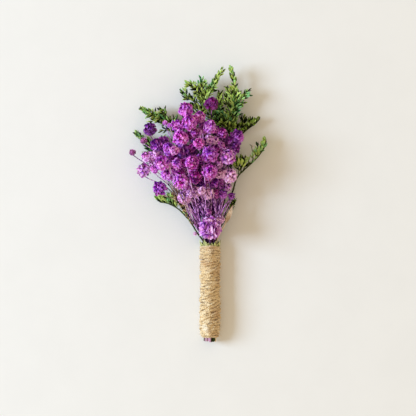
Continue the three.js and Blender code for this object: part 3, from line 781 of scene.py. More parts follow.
def ruffled_petal(rng):
    """A petal one long and one wide, from a narrow claw to a ruffled, notched edge."""
    phase, notch_phase = rng.uniform(0, FULL_PHASE), rng.uniform(0, FULL_PHASE)
    folds, notch = 1.2 * rng.uniform(0.8, 1.3), rng.uniform(0.08, 0.2)
    skew = rng.uniform(-0.15, 0.15)

    def form(x, y):
        half = 0.5 * (0.3 + 0.7 * eased(y / 0.75)) * (1 - 0.14 * eased((y - 0.7) / 0.3))
        end = notch * (0.5 + 0.5 * math.sin(3 * math.pi * x + notch_phase)) + 0.12 * x * x
        ruffle = 0.17 * y * y * math.sin(math.pi * folds * x + phase)
        cup = 0.12 * x * x * y - 0.38 * y**3
        unevenness = rng.uniform(-0.02, 0.02)
        return Vector((x * half + skew * y * y, y - end * y**3, ruffle + cup + unevenness))

    return blade(4, 3, form, 0.07)


def strap_petal(rng):
    """A narrow petal that keeps its width to a blunt end, curled one way and twisted a little."""
    curl, twist, bow = rng.uniform(-0.1, 0.28), rng.uniform(-0.9, 0.9), rng.uniform(-0.3, 0.3)

    def form(x, y):
        half = 0.5 * (0.55 + 0.45 * eased(y / 0.5)) * (1 - 0.35 * eased((y - 0.8) / 0.2))
        turn = twist * y
        place = Vector((x * half * math.cos(turn), y, x * half * math.sin(turn)))
        place.y -= 0.04 * x * x * y
        place.x += bow * y * y
        place.z += 0.18 * x * x - curl * y * y
        return place

    return blade(2, 4, form, 0.12, foot_tone=0.42)


def torn_point(rng):
    """A pointed boat-shaped point of tape one long, its keel outwards and its tip bent out."""
    hook, lean = 0.1 * rng.uniform(0.4, 1.5), rng.uniform(-0.08, 0.08)

    def form(x, y):
        half = 0.5 * (0.42 + 0.58 * eased(y / 0.4)) * (1 - eased((y - 0.35) / 0.68)) ** 0.7
        keel = 0.34 * (1 - x * x) * (1 - y) * 0.8
        return Vector((x * half + lean * y * y, y, keel + hook * y * y))

    return blade(2, 4, form, 0.16)


def spikelet(rng):
    """A plump blunt spikelet one long on a thin foot, its tip bent back towards its stem."""
    hook, lean = rng.uniform(0.04, 0.24), rng.uniform(-0.08, 0.08)

    def form(x, y):
        half = 0.18 * (0.3 + 0.7 * eased((y - 0.06) / 0.3)) * (1 - eased((y - 0.6) / 0.42)) ** 0.5
        return Vector((x * half + lean * y * y, y, 0.7 * half * (1 - x * x) - hook * y * y))

    return blade(2, 5, form, 0.1)


def rods(runs, sides=6):
    """Closed rods through runs of (point, radius), as one shape."""
    curve = bpy.data.curves.new("rods", "CURVE")
    curve.dimensions = "3D"
    curve.bevel_depth = 1
    curve.bevel_resolution = (sides - 4) // 2
    curve.use_fill_caps = True
    for run in runs:
        spline = curve.splines.new("POLY")
        spline.points.add(len(run) - 1)
        for point, (place, radius) in zip(spline.points, run):
            point.co, point.radius = (*place, 1), radius
    holder = bpy.data.objects.new("rods", curve)
    mesh = bpy.data.meshes.new_from_object(holder)
    bpy.data.objects.remove(holder)
    bpy.data.curves.remove(curve)
    bm = bmesh.new()
    bm.from_mesh(mesh)
    bpy.data.meshes.remove(mesh)
    bmesh.ops.remove_doubles(bm, verts=bm.verts[:], dist=ROD_WELD)
    return bm


def shown(name, data):
    """An object in the scene, from a mesh, a light or a camera."""
    made = bpy.data.objects.new(name, data)
    bpy.context.scene.collection.objects.link(made)
    return made


def piece(name, bm, finish, node):
    """A finished piece, in metres, that rides on the part in place of its CAD node."""
    for v in bm.verts:
        v.co.z = max(v.co.z, LEAST_HEIGHT)
    mesh = mesh_of(bm, name)
    mesh.transform(Matrix.Scale(MILLIMETRE, 4))
    mesh.materials.append(finish)
    made = shown(name, mesh)
    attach(made, "root")
    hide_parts(node)


# Stems


def bundled(slot):
    """The straight run of a stem through the handle, up to where the fan starts."""
    column, row = slot
    x, z = column * STEM_PITCH, AXIS_HEIGHT + row * ROW_PITCH
    return [Vector((x, STEM_END, z)), Vector((x, MOUTH, z)), Vector((1.25 * x, FAN_START, z))]


def fan_share(step):
    """How far along a stem a numbered step of its fan is, from 0 at the end of the bundle."""
    return (2 + step / FAN_STEPS) / 3


def stem_run(points, rng, foot, tip, steps=26):
    """A stem's run with a slight wander, thicker at its cut end and at its joints."""
    wander = [rng.uniform(0, FULL_PHASE) for _ in range(2)]
    run = []
    for k in range(steps + 1):
        share = k / steps
        place = curve_point(points, share)
        across, up = square_to(curve_heading(points, share))
        free = eased((place.y - MOUTH) / 12) * (1 - eased((share - 0.85) / 0.15))
        place += across * 0.16 * free * math.sin(0.5 * place.y + wander[0])
        place += up * 0.12 * free * math.sin(0.7 * place.y + wander[1])
        radius = foot + (tip - foot) * share
        run.append((place, radius * (1.25 if k % 6 == 3 and free > 0.5 else 1)))
    run[0] = (run[0][0] + Vector((0, rng.uniform(0, 0.7), 0)), foot)
    return run


def stalk_run(points, rng, foot, tip):
    """A thin stalk with a slight wander."""
    wander, bend = rng.uniform(0, FULL_PHASE), rng.uniform(0.08, 0.2)
    run = []
    for k in range(STALK_STEPS + 1):
        share = k / STALK_STEPS
        place = curve_point(points, share)
        across, _ = square_to(curve_heading(points, share))
        place += across * bend * math.sin(math.pi * share) * math.sin(5 * share + wander)
        run.append((place, foot + (tip - foot) * share))
    return run


def tapered(points, foot, tip, steps):
    """A run along a curve that grows thinner."""
    shares = [k / steps for k in range(steps + 1)]
    return [(curve_point(points, share), foot + (tip - foot) * share) for share in shares]


# Flower heads


@dataclass
class Head:
    """A flower head. A low one has fewer petals, and a fixed one isn't moved to settle."""

    place: Vector
    radius: float
    tint: str
    low: bool = False
    fixed: bool = False
    axis: Vector = None


def dome_level(x, y):
    """The height of the dome on which the heads lie."""
    fall = sum(((v - c) / s) ** 2 for v, c, s in zip((x, y), DOME_CENTRE, DOME_SPAN))
    return DOME_RIM + DOME_RISE * (1 - fall)


def settle(heads):
    """Moves heads that lie too close apart, more in height than across, as the CAD does."""
    for _ in range(SETTLE_ROUNDS):
        for i, a in enumerate(heads):
            for b in heads[i + 1 :]:
                apart = b.place - a.place
                short = a.radius + b.radius + HEAD_GAP - apart.length
                if short <= 0:
                    continue
                push = apart.normalized() * (short / 2)
                push = Vector((push.x / 2, push.y / 2, push.z))
                if not a.fixed:
                    a.place -= push
                if not b.fixed:
                    b.place += push


def placed_heads():
    """Every spray's heads and the bloom's, settled, then drawn back over where they are seen."""
    sprays = {}
    for name, spray in SPRAYS.items():
        sprays[name] = []
        for x, y, size, tint, *sunk in spray["heads"]:
            under = spray.get("under", False)
            level = UNDER_LEVEL if under else dome_level(x, y)
            place = Vector((x, y, level - sum(sunk)))
            low = under or sum(sunk) > LOW_SUNK
            sprays[name].append(Head(place, size * HEAD_FULLNESS, tint, low))
    bloom = [
        Head(Vector((x, y, z)), radius, tint, fixed=True)
        for x, y, z, radius, tint in (BLOOM, *BLOOM_SIDES)
    ]
    settle([head for heads in sprays.values() for head in heads] + bloom)
    for name, spray in SPRAYS.items():
        for head, (x, y, *_) in zip(sprays[name], spray["heads"]):
            head.place += HOME_SHARE * (Vector((x, y, head.place.z)) - head.place)
    return sprays, bloom


def fill_gaps(sprays, rng):
    """Small heads, deep in the gaps between the heads of the mass, often in dark tints as painted
    shade in the gaps.
    """
    heads = [(name, head) for name, heads in sprays.items() for head in heads]
    mass = [(name, head) for name, head in heads if head.radius > GAP_BESIDE]
    taken = []
    for i, (name, a) in enumerate(mass):
        for _, b in mass[i + 1 :]:
            middle = a.place.lerp(b.place, 0.5) - GAP_DEPTH * UP
            crowded = any((middle - other).length < GAP_CLEARANCE for other in taken)
            inside = sum((middle - head.place).length < GAP_REACH for _, head in mass) > GAP_ROUND
            if inside and not crowded and (a.place - b.place).length <= GAP_SPAN:
                taken.append(middle)
                # The plum and dark tints paint shade into the gaps.
                tint = rng.choice(("plum", "dark", a.tint, b.tint))
                sprays[name].append(Head(middle, rng.uniform(2.7, 3.5), tint, low=True))


def lay_petal(bm, head, heading, pole, lean, twist, size, reach, shape, **tones):
    """A petal whose tip lies on the head's round outside in the direction of a heading. It leans
    away from the pole, with its face turned up to the pole."""
    width, length = size
    up = pole - heading * heading.dot(pole)
    up = up.normalized() if up.length > 0.05 else square_to(heading)[0]
    along = swung(heading, -up, lean).normalized()
    facing = swung(up, heading, lean).normalized()
    across = along.cross(facing)
    turn = Matrix.Rotation(twist, 3, along)
    across, facing = turn @ across, turn @ facing
    foot = head.place + heading * head.radius * reach - along * length
    lay(bm, shape, placed(along, facing, foot, (width, length, length), across), **tones)


def around(count, lowest):
    """Even directions over a ball about +Z, down to a lowest height from 1 to -1."""
    for i in range(count):
        height = 1 - (1 - lowest) * (i + 0.5) / count
        ring = math.sqrt(1 - height * height)
        angle = GOLDEN_ANGLE * i
        yield Vector((ring * math.cos(angle), ring * math.sin(angle), height))


def head_frame(axis, rng):
    """Turns +Z to the head's axis, with a random spin about it."""
    across, up = square_to(axis, rng)
    return Matrix((across, up, axis)).transposed()


def middle_and_cup(bm, head, rng, share, cup_share, along=0.0):
    """The core that the petals grow from, dark as painted shade deep in the head unless `along`
    makes it paler, and the green-mauve cup between the stalk and the head. Both sizes are shares
    of the head's radius."""
    ball, cup = toned(), toned()
    bmesh.ops.create_icosphere(ball, subdivisions=2, radius=head.radius * share)
    hue, pale = TINTS[head.tint]
    place = Matrix.Translation(head.place)
    # The core's dark colour is painted shade deep in the head.
    lay_once(bm, ball, place, hue=hue, pale=min(pale, 2 * along), along=along)
    bmesh.ops.create_cone(
        cup, cap_ends=True, segments=8, radius1=0.16, radius2=head.radius * cup_share,
        depth=head.radius * 0.5,
    )
    base = Matrix.Translation(head.place - head.axis * head.radius * 0.72)
    turn = head_frame(head.axis, rng).to_4x4()
    lay_once(bm, cup, base @ turn, hue=0.5, pale=-0.4, along=0.25)


def flower_head(bm, head, petals, rng):
    """A double head: ruffled petals all round, cupped over the middle and spread below it."""
    hue, pale = TINTS[head.tint]
    turn = head_frame(head.axis, rng)
    share, size = (0.5, 0.55 * head.radius) if head.low else (1, 0.38 * head.radius)
    count = round(PETALS_PER_MILLIMETRE * head.radius * share) + LEAST_PETALS
    drawn_out, openness = rng.uniform(-0.12, 0.2), rng.uniform(0.5, 1.0)
    uneven = [scatter(rng).normalized() for _ in range(3)]
    for heading in around(count, -0.75):
        fall = min(1, 1 - heading.z)
        heading = (turn @ heading + 0.12 * scatter(rng)).normalized()
        swell = 1.0 + 0.07 * sum(heading.dot(way) for way in uneven)
        swell += drawn_out * (heading.dot(head.axis) ** 2 - 0.4)
        lay_petal(
            bm, head, heading, head.axis,
            lean=1.15 - openness * fall + rng.uniform(-0.3, 0.3),
            twist=rng.uniform(-0.7, 0.7),
            size=(size * rng.uniform(0.75, 1.35), head.radius * rng.uniform(0.45, 0.6)),
            reach=swell * rng.uniform(0.77, 1.03),
            shape=rng.choice(petals),
            hue=hue + rng.uniform(-0.2, 0.2),
            pale=pale + rng.uniform(-0.35, 0.35),
        )
    middle_and_cup(bm, head, rng, 0.55, 0.42)


def flower_bud(bm, head, petals, rng):
    """A closed bud: broad petals wrapped tightly over one another."""
    hue, pale = TINTS[head.tint]
    turn = head_frame(head.axis, rng)
    for heading in around(BUD_PETALS, -0.5):
        lay_petal(
            bm, head, turn @ heading, head.axis,
            lean=-0.75 + rng.uniform(-0.1, 0.15),
            twist=rng.uniform(-0.25, 0.25),
            size=(head.radius * rng.uniform(0.7, 0.95), head.radius * rng.uniform(0.75, 0.95)),
            reach=rng.uniform(0.93, 1.03),
            shape=rng.choice(petals),
            hue=hue + rng.uniform(-0.1, 0.1),
            pale=pale + 0.1,
        )
    middle_and_cup(bm, head, rng, 0.8, 0.62, along=0.6)


def strap_bloom(bm, head, straps, rng):
    """The large low bloom: a dense ball of strap petals that cross one another, the deeper ones
    darker as painted shade inside.
    """
    hue, pale = TINTS[head.tint]
    turn = head_frame(head.axis, rng)
    for heading in around(BLOOM_PETALS, -0.8):
        heading = (turn @ heading + 0.25 * scatter(rng)).normalized()
        pole = (head.axis + 0.9 * scatter(rng)).normalized()
        # Painted shade: the deeper a strap lies, the darker it is.
        depth = rng.random()
        lay_petal(
            bm, head, heading, pole,
            lean=rng.uniform(0.75, 1.3),
            twist=rng.uniform(-0.9, 0.9),
            size=(rng.uniform(0.5, 0.7), rng.uniform(2.4, 3.7)),
            reach=1.08 - 0.2 * depth,
            shape=rng.choice(straps),
            hue=hue + rng.uniform(-0.12, 0.14),
            pale=pale + 0.66 - 1.65 * depth + rng.uniform(-0.35, 0.35),
        )
    middle_and_cup(bm, head, rng, 0.6, 0.4)


def stalk_points(stem, head, share):
    """A stalk from a stem at a share of its length, along it, then up under the head."""
    start = curve_point(stem, share)
    reach = (head.place - start).length
    drop = min(0.3 * reach, 1.2 * head.radius)
    under = head.place + Vector((0, -0.6, -0.8)) * drop
    leave = start + curve_heading(stem, share).lerp(AHEAD, 0.5) * 0.35 * reach
    return [start, leave.lerp(under, 0.35), under, head.place]


def face_out(head, under):
    """A head in the middle of the mass faces up. One at the rim looks outwards, as its stalk
    spreads."""
    x, y, _ = head.place
    spread = min(1, math.hypot((x - DOME_CENTRE[0]) / 30, (y - DOME_CENTRE[1]) / 34))
    out = Vector((x + 3, y - 36, 0)).normalized()
    upward = Vector((0, 0, 1 - 0.75 * spread))
    return (upward + out * 0.9 * spread + (head.place - under).normalized() * 0.4).normalized()


def spray_shapes(name, heads, kinds, rng):
    """A spray's heads as one shape and the runs of its stems: one stalk to each head, bare ones
    that fan out from the stem, and those that pass over the heads."""
    spray = SPRAYS[name]
    stem = [*bundled(spray["slot"]), Vector(spray["fork"])]
    near = spray["fork"][1] < NEAR_FORK
    flowers, runs = toned(), [stem_run(stem, rng, *SPRAY_STEM)]
    for head in heads:
        back = min(max(round((stem[-1].y - head.place.y) / NODE_SPACING), 0), 2)
        early = rng.uniform(*spray.get("early", (0.8, 2.4) if near else (0, 3)))
        points = stalk_points(stem, head, fan_share(max(FAN_STEPS - back - early, 0.4)))
        head.axis = face_out(head, points[-2])
        runs.append(stalk_run(points, rng, *HEAD_STALK))
        flower = flower_bud if head.radius < BUD_RADIUS else flower_head
        flower(flowers, head, kinds["petals"], rng)
    inwards = max(-spray["fork"][0] / (40 if near else 70), 0.04)
    for _ in range(NEAR_STALKS if near else FAR_STALKS):
        share = fan_share(rng.uniform(0, 2.4))
        start, heading = curve_point(stem, share), curve_heading(stem, share)
        side = Vector((inwards + rng.uniform(-0.3, 0.3), 0, rng.uniform(-0.25, 0.12)))
        tip = start + (heading + side).normalized() * rng.uniform(12, 24)
        middle = start.lerp(tip, 0.5) + heading * 1.5
        runs.append(stalk_run([start, middle, tip], rng, *BARE_STALK))
    for x, y, radius in spray.get("over", []):
        start, tip = curve_point(stem, fan_share(rng.uniform(2, 3.4))), Vector((x, y, 0))
        points = [start, start.lerp(tip, 0.35), start.lerp(tip, 0.68), tip]
        for point, lift in zip(points[1:], (4.2, 4.8, 3.4)):
            point.z = max(dome_level(point.x, point.y), 10) + lift
        runs.append(stalk_run(points, rng, radius, 0.65 * radius))
    return flowers, runs


def bloom_shapes(bloom, kinds, rng):
    """The large low bloom and its side heads as one shape, and the runs of their stems."""
    middle, *sides = bloom
    root = middle.place + Vector((0, -2, -2.4))
    flowers, runs = toned(), [stem_run([*bundled(BLOOM_SLOT), root], rng, *BLOOM_STEM)]
    middle.axis = Vector((0.05, -0.15, 1)).normalized()
    strap_bloom(flowers, middle, kinds["straps"], rng)
    for head in sides:
        points = [root, root.lerp(head.place, 0.5) - 0.8 * UP, head.place]
        head.axis = (Vector((0, 0.3, 1)) + 0.2 * (head.place - root).normalized()).normalized()
        runs.append(stalk_run(points, rng, *HEAD_STALK))
        flower_head(flowers, head, kinds["petals"], rng)
    return flowers, runs


# Green sprigs


def short_of(tip, before):
    """A stem's tip, drawn back so that the last bract ends where the tip was."""
    return tip + (before - tip).normalized() * 0.8 * BRACT_REACH


def twig_points(rachis, twig):
    """A twig leaves the rachis at a numbered point, or between two, and bends to its tip."""
    x, y, z, leaves, *_ = twig
    share = (3 + leaves) / (len(rachis) - 1)
    start = curve_point(rachis, share)
    tip = short_of(Vector((x, y, z)), start)
    lift = curve_heading(rachis, share) * 0.14 * (tip - start).length
    return [start, start.lerp(tip, 0.45) + lift, tip]


def side_twigs(rachis, first, rng):
    """Short twigs between the long ones, to the left and the right in turn."""
    gap = SIDE_TWIG_STEP / curve_length(rachis)
    share, hand = first + gap / 2, rng.choice((-1, 1))
    while share < SIDE_TWIGS_END:
        heading = curve_heading(rachis, share)
        side = heading.cross(UP).normalized() * hand
        side += Vector((0, 0, rng.uniform(-0.1, 0.5)))
        start = curve_point(rachis, share)
        reach = rng.uniform(3.4, 5.8) * (1.1 - 0.6 * share)
        tip = start + (heading + side * 0.5).normalized() * reach
        tip.z = max(tip.z, TWIG_CLEARANCE)
        yield [start, start.lerp(tip, 0.5) + heading * 0.08 * reach, tip]
        share += gap * rng.uniform(0.8, 1.2)
        hand = -hand


def branchlets(
    leaves, stems, points, first, shapes, rng, towards=None, size=1.0, gap=1.0, brightness=0.0
):
    """Short branchlets all along a stem past its bare part, most of them to the left and the
    right, each with a few spikelets that point forward. They grow smaller to the tip."""
    count = max(3, round(curve_length(points) * (1 - first) / (BRANCHLET_STEP * gap)))
    for k in range(count + 1):
        last = k / count
        share = first + (1 - first) * last
        start, heading = curve_point(points, share), curve_heading(points, share)
        across, up = square_to(heading)
        turn = BRANCHLET_SIDES[k % len(BRANCHLET_SIDES)] + rng.uniform(-0.35, 0.35)
        outward = swung(up, across, turn)
        lean = rng.uniform(0.4, 0.75)
        if towards:
            outward = squared((outward * 0.45 + towards).normalized(), heading)
            lean += 0.4
        way = swung(heading, outward, lean * (1 - 0.35 * last**4))
        tip = start + way * (size * rng.uniform(1.0, 2.2) * (1 - 0.3 * last**2))
        tip.z = max(tip.z, BRANCHLET_CLEARANCE)
        stems.append([(start, BRANCHLET_FOOT), (tip, BRANCHLET_TIP)])
        hue = rng.uniform(0.1, 0.7)
        # Painted light and shade: the tone rises where a branchlet faces up and where it stands
        # high, over the sprig's own tone, and a little towards the ends.
        shade = brightness + 0.9 * outward.z + 0.1 * (start.z - 7.5) + rng.uniform(-0.3, 0.3)
        for j in range(SPIKELETS):
            origin = start.lerp(tip, (j + 0.4) / SPIKELETS)
            spread = squared(scatter(rng), way)
            lean = rng.uniform(0.1, 0.36)
            along, facing = swung(way, spread, lean), swung(spread, -way, lean)
            grown = SPIKELET_REACH * size * rng.uniform(0.75, 1.15) * (1 - 0.15 * last**2)
            if origin.z + along.z * grown < SPIKELET_CLEARANCE:
                along.z = abs(along.z)
                facing = squared(facing, along)
            place = placed(along, facing, origin, (grown, grown, grown))
            tone = shade + rng.uniform(-0.6, 0.6) + 0.1 * j + 0.1 * last
            lay(leaves, rng.choice(shapes), place, hue=hue + rng.uniform(-0.15, 0.15), pale=tone)


def beads(leaves, points, first, shapes, rng):
    """Plump dry beads close along a twig past its bare part, brown, straw and olive."""
    count = max(1, round(curve_length(points) * (1 - first) / BRANCHLET_STEP))
    for k in range(count + 1):
        share = first + (1 - first) * k / count
        heading = curve_heading(points, share)
        across, up = square_to(heading)
        outward = swung(up, across, BEAD_SIDES[k % len(BEAD_SIDES)] + rng.uniform(-0.3, 0.3))
        along = (heading + outward * rng.uniform(0.4, 0.9)).normalized()
        facing = squared(outward, along)
        length = rng.uniform(1.4, 2.2)
        origin = curve_point(points, share) - heading * 0.5
        place = placed(along, facing, origin, (1.7 * length, length, length))
        hue, pale = rng.choice(((1.7, 0), (1.7, 0), (0.4, 0.8), (0.3, -0.3)))
        lay(leaves, rng.choice(shapes), place, hue=hue, pale=pale + rng.uniform(-0.2, 0.2))


def sprig_shapes(name, kinds, rng):
    """A sprig's bracts as one shape, and the runs of its stems and of its branchlets."""
    sprig, shapes = SPRIGS[name], kinds["spikelets"]
    size, tone, twigs = sprig.get("size", 1), sprig.get("tone", -0.15), sprig.get("twigs", [])
    towards = Vector(sprig["towards"]).normalized() if "towards" in sprig else None
    rachis = [*bundled(sprig["slot"]), *map(Vector, sprig["path"])]
    rachis[-1] = short_of(rachis[-1], rachis[-2])
    first = (2 + sprig.get("bare", 2)) / (len(rachis) - 1)
    leaves, runs, stems = toned(), [stem_run(rachis, rng, *SPRIG_STEM, steps=40)], []

    def grow_between(points, first, radii, grown):
        for small in side_twigs(points, first, rng):
            runs.append(tapered(small, *radii, SIDE_TWIG_STEPS))
            branchlets(leaves, stems, small, 0.1, shapes, rng, size=grown)

    gap = sprig.get("gap", 1)
    branchlets(leaves, stems, rachis, first, shapes, rng, towards, size, gap, tone)
    for twig in twigs:
        points = twig_points(rachis, twig)
        runs.append(tapered(points, *TWIG, TWIG_STEPS))
        bare = 0.3 if towards else 0.04
        grown = 0.95 * size * (twig[4] if len(twig) > 4 else 1)
        branchlets(leaves, stems, points, bare, shapes, rng, size=grown, brightness=tone)
        if not towards and curve_length(points) > LONG_TWIG:
            grow_between(points, 0.1, SIDE_TWIG, 0.85)
    for bare, points in sprig.get("beads", []):
        points = [Vector(point) for point in points]
        runs.append(tapered(points, *BEAD_TWIG, TWIG_STEPS))
        beads(leaves, points, bare, shapes, rng)
    if twigs and not towards:
        grow_between(rachis, first, STEM_SIDE_TWIG, 0.9)
    return leaves, runs, stems


# Twine, tape and leaf


def at_angle(angle):
    """The directions out from the handle and round it, at an angle from straight up."""
    up, side = math.cos(angle), math.sin(angle)
    return Vector((side, 0, up)), Vector((up, 0, -side))


def crest_radius(y):
    """The handle has a slight waist, and is drawn in over its last turns."""
    drawn_in = 1.5 * math.exp(-(y + MOUTH) / 1.5) + 0.3 * math.exp(-(MOUTH - y) / 1.2)
    waist = 0.28 * math.exp(-(((y - WAIST_Y) / WAIST_SPAN) ** 2))
    return TWINE_CREST - waist - 0.06 * (1 + math.cos(1.3 * y)) - drawn_in


def turn_tilt(y):
    """How far the turns tilt, up to the right, along the handle."""
    steep = 0.3 * math.exp(-(((y + 8) / 4.5) ** 2)) + 0.1 * math.exp(-(((y - 14) / 4) ** 2))
    return (0.05 + steep + 0.06 * math.sin(0.9 * y + 0.8)) * (1 - (y / MOUTH) ** 6)


def ridge(y, angle):
    """The stems under the twine meet in a low ridge that wanders along the top of the handle,
    and lie flatter at the right of it."""
    off = (angle - 0.12 * math.sin(0.4 * y - 0.4) * (y + MOUTH) / HANDLE_LENGTH + 0.06) % math.tau
    flank = FLANK_DEPTH * math.sin(math.pi * off / 1.5) if off < 1.5 else 0
    off = min(off, math.tau - off)
    return RIDGE_HEIGHT * math.exp(-math.hypot(off, 0.07) / 0.4) - flank


def wound(y, angle, lift):
    """The middle of the twine at an angle round the handle, and its outward direction."""
    outward, _ = at_angle(angle)
    radius = crest_radius(y) + ridge(y, angle) - TWINE_RADIUS + lift
    wave = 0.18 * math.sin(2 * angle + 0.45 * y) * (1 - (y / MOUTH) ** 4)
    ahead = y + turn_tilt(y) * radius * outward.x + wave
    return outward * radius + Vector((0, ahead, AXIS_HEIGHT)), outward


def plies(path, thickness=1.0):
    """Two plies twisted round a path of (point, outward direction)."""
    travelled = [0.0]
    for (a, _), (b, _) in zip(path, path[1:]):
        travelled.append(travelled[-1] + (b - a).length)
    for ply in range(2):
        run = []
        for (place, outward), far in zip(path, travelled):
            off = swung(outward, AHEAD, math.tau * (far / PLY_TWIST + ply / 2))
            swell = 1 + 0.1 * math.sin(far * 0.9 + 2 * ply) + 0.06 * math.sin(far * 2.3)
            place = place + off * (PLY_OFFSET * thickness)
            run.append((place, PLY_RADIUS * thickness * swell))
        yield run


def rest_flat(bm):
    """Presses what lies under the handle flat on the surface, as the CAD's flat spot is."""
    deepest = AXIS_HEIGHT - TWINE_CREST - 0.1
    for v in bm.verts:
        if v.co.z < PRESSED_UPPER:
            share = max(0, v.co.z - deepest)
            v.co.z = PRESSED_UPPER * share / (PRESSED_UPPER - deepest)


def twine_wrap():
    """The jute twine in close, uneven turns, and loose turns that cross over them."""
    ends = MOUTH - TWINE_RADIUS
    path = []
    for k in range(-TURN_STEPS, TURN_STEPS * (TWINE_TURNS + 1) + 1):
        turns = k / TURN_STEPS
        y = ends * (2 * min(max(turns / TWINE_TURNS, 0), 1) - 1)
        bump = 0.1 * math.sin(9 * turns) + 0.08 * math.sin(23.7 * turns) - 0.05
        path.append(wound(y, math.tau * turns + FIRST_ANGLE, bump))
    cord = [(place - outward * CORE_DEPTH, CORE_RADIUS) for place, outward in path]
    runs = [cord, *plies(path)]
    for start, end, turns, begin in LOOSE_TURNS:
        steps = int(TURN_STEPS * turns)
        path = []
        for k in range(steps + 1):
            share = k / steps
            tucked = min(1, 7 * share, 7 * (1 - share))
            y = start + (end - start) * share
            path.append(wound(y, begin + math.tau * turns * share, 0.6 * tucked - 0.15))
        runs += plies(path, LOOSE_THICKNESS)
    bm = rods(runs)
    rest_flat(bm)
    return bm


def loose_fibres(rng):
    """Short jute hairs that stand off the twine."""
    runs = []
    for _ in range(FIBRES):
        y, angle = rng.uniform(-MOUTH + 0.8, MOUTH - 0.6), rng.uniform(0, math.tau)
        place, outward = wound(y, angle, TWINE_RADIUS * 0.7)
        heading = at_angle(angle)[1] * rng.choice((-1, 1))
        heading += outward * rng.uniform(0.05, 0.5) + Vector((0, rng.uniform(-0.5, 0.5), 0))
        bend = scatter(rng, 0.35) - outward * 0.15
        length = rng.uniform(1.2, 3.4)
        run = []
        for k in range(FIBRE_STEPS + 1):
            run.append((place.copy(), 0.04 - 0.005 * k))
            place += heading.normalized() * length / FIBRE_STEPS
            heading = heading.normalized() + bend
        runs.append(run)
    return rods(runs, 4)


def stem_tape(kinds, rng):
    """The tape under the twine, with its torn top edge and the leaf-like points of its rim."""
    sleeve = toned()
    rim = bmesh.ops.create_circle(
        sleeve, cap_ends=True, segments=4 * TAPE_POINTS, radius=0.8 * TAPE_RADIUS
    )["verts"]
    bmesh.ops.rotate(sleeve, matrix=Matrix.Rotation(math.pi / 2, 3, "X"), verts=rim)
    bmesh.ops.translate(sleeve, vec=(0, -MOUTH + 0.9, AXIS_HEIGHT), verts=rim)
    edges = sleeve.edges[:]
    for y, flare in ((TAPE_FOOT, 1.25), (MOUTH - 2, 1), (MOUTH, 1.1), (TAPE_RIM, 1.12)):
        grown = bmesh.ops.extrude_edge_only(sleeve, edges=edges)["geom"]
        rim = [g for g in grown if isinstance(g, bmesh.types.BMVert)]
        edges = [g for g in grown if isinstance(g, bmesh.types.BMEdge)]
        for v in rim:
            height = AXIS_HEIGHT + (v.co.z - AXIS_HEIGHT) * flare
            v.co = Vector((v.co.x * flare, y, height))
    for v in rim:
        angle = math.atan2(v.co.x, v.co.z - AXIS_HEIGHT)
        v.co.y += 0.4 * math.sin(5 * angle) + rng.uniform(-0.5, 0.2)
    bmesh.ops.recalc_face_normals(sleeve, faces=sleeve.faces[:])
    bmesh.ops.solidify(sleeve, geom=sleeve.faces[:], thickness=TAPE_THICKNESS)
    for k in range(TAPE_POINTS):
        outward, round_about = at_angle(math.tau * (k + rng.uniform(-0.4, 0.4)) / TAPE_POINTS)
        along = AHEAD + outward * rng.uniform(0, 0.4)
        along = (along + round_about * rng.uniform(-0.6, 0.6)).normalized()
        facing = squared(outward, along)
        origin = outward * (TAPE_RADIUS + 0.4) + Vector((0.6 * outward.x, MOUTH - 0.6, AXIS_HEIGHT))
        length = TAPE_RIM + TAPE_POINT_HEIGHT - MOUTH + 0.6 + rng.uniform(-1.6, 0.8)
        scale = (rng.uniform(1.1, 2.1), length, length * 0.4)
        place = placed(along, facing, origin, scale)
        lay(sleeve, rng.choice(kinds["points"]), place, pale=rng.choice((1.1, 0.9, 0.7, 0.5)))
    return sleeve


def dry_leaf(rng):
    """The straw-coloured leaf, curled and twisted a little as it dried, and its stalk's run."""
    stem = [*bundled(LEAF_SLOT), *map(Vector, LEAF_STALK)]
    tip = Vector(LEAF_TIP)
    along = (tip - stem[-1]).normalized()
    root = stem[-1] - along * 0.2
    length = (tip - root).length
    across = along.cross(Vector((-0.3, 0, 1))).normalized()
    facing = across.cross(along).normalized()

    def form(x, y):
        half = 0.5 * math.sin(math.pi * min(1, 0.06 + 0.94 * y) ** 0.8) ** 0.8 + 0.02 * (1 - y)
        turn = 0.5 * y - 0.15
        wave = 0.06 * math.sin(9 * y) * x
        z = 0.22 * x * x * (1 - 0.4 * y) + wave + 0.5 * x * half * math.sin(turn)
        return Vector((x * half * math.cos(turn) + 0.12 * math.sin(2.6 * y), y, z * 0.6))

    leaf = blade(8, 16, form, 0.09)
    bm = toned()
    lay(bm, leaf, placed(along, facing, root, (LEAF_WIDTH, length, LEAF_WIDTH), across))
    return bm, [stem_run(stem, rng, *LEAF_STEM)]


# Making


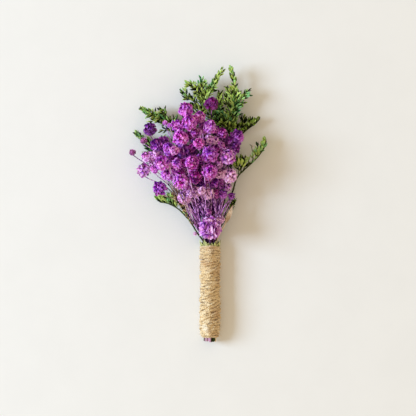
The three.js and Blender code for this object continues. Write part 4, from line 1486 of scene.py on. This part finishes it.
def stage():
    """The pale card, a soft window light from the left, and the camera straight above."""
    bm = bmesh.new()
    bmesh.ops.create_grid(bm, x_segments=1, y_segments=1, size=CARD_SIZE)
    mesh = mesh_of(bm, "pale_card")
    mesh.materials.append(pale_surface())
    card = shown("pale_card", mesh)
    card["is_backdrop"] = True

    window = bpy.data.lights.new("window", "AREA")
    window.shape, window.size = "SQUARE", WINDOW_SIZE
    window.energy, window.color = WINDOW_POWER, WINDOW_COLOUR
    light = shown("window", window)
    light.location = WINDOW_TARGET + WINDOW_WAY
    light.rotation_euler = (WINDOW_TARGET - light.location).to_track_quat("-Z", "Y").to_euler()

    world = bpy.data.worlds.new("room")
    world.use_nodes = True
    world.node_tree.nodes["Background"].inputs["Color"].default_value = ROOM_COLOUR
    world.node_tree.nodes["Background"].inputs["Strength"].default_value = ROOM_STRENGTH
    bpy.context.scene.world = world

    lens = bpy.data.cameras.new("camera")
    lens.lens, lens.sensor_width = FOCAL_LENGTH, SENSOR_WIDTH
    camera = shown("camera", lens)
    distance = VIEW_WIDTH * FOCAL_LENGTH / SENSOR_WIDTH
    camera.location = (CAMERA_X, CAMERA_Y, VIEW_HEIGHT + distance)
    bpy.context.scene.camera = camera
    bpy.context.scene.view_settings.view_transform = "Standard"


def make():
    """Every piece of the boutonniere."""
    rng = random.Random(SHAPE_SEED)
    kinds = {
        "petals": [ruffled_petal(rng) for _ in range(PETAL_KINDS)],
        "straps": [strap_petal(rng) for _ in range(STRAP_KINDS)],
        "spikelets": [spikelet(rng) for _ in range(SPIKELET_KINDS)],
        "points": [torn_point(rng) for _ in range(POINT_KINDS)],
    }
    sprays, bloom = placed_heads()
    fill_gaps(sprays, rng)
    flowering = {
        name: spray_shapes(name, heads, kinds, random.Random(SPRAY_SEED + i))
        for i, (name, heads) in enumerate(sprays.items())
    }
    rng = random.Random(BLOOM_SEED)
    flowering["base_bloom"] = bloom_shapes(bloom, kinds, rng)
    petal, stem = petal_paper(), dyed_stem()
    for name, (flowers, runs) in flowering.items():
        piece(f"{name}_heads", flowers, petal, name)
        piece(f"{name}_stems", rods(runs), stem, name)

    leaf, green = green_bract(), green_stem()
    for i, name in enumerate(SPRIGS):
        leaves, runs, stems = sprig_shapes(name, kinds, random.Random(SPRIG_SEED + i))
        piece(f"{name}_bracts", leaves, leaf, name)
        piece(f"{name}_stems", rods(runs), green, name)
        piece(f"{name}_branchlets", rods(stems, 4), green, name)

    twine, straw = jute(), straw_leaf()
    piece("twine_turns", twine_wrap(), twine, "twine_wrap")
    piece("twine_fibres", loose_fibres(rng), twine, "twine_wrap")
    piece("tape_sleeve", stem_tape(kinds, rng), crepe_tape(), "stem_tape")
    blade_shape, runs = dry_leaf(rng)
    piece("dry_leaf_blade", blade_shape, straw, "dry_leaf")
    piece("dry_leaf_stalk", rods(runs), straw, "dry_leaf")


make()
stage()

boxes = {"cad": cad_box, "visual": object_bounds()}
{name: [list(corner) for corner in box] for name, box in boxes.items()}
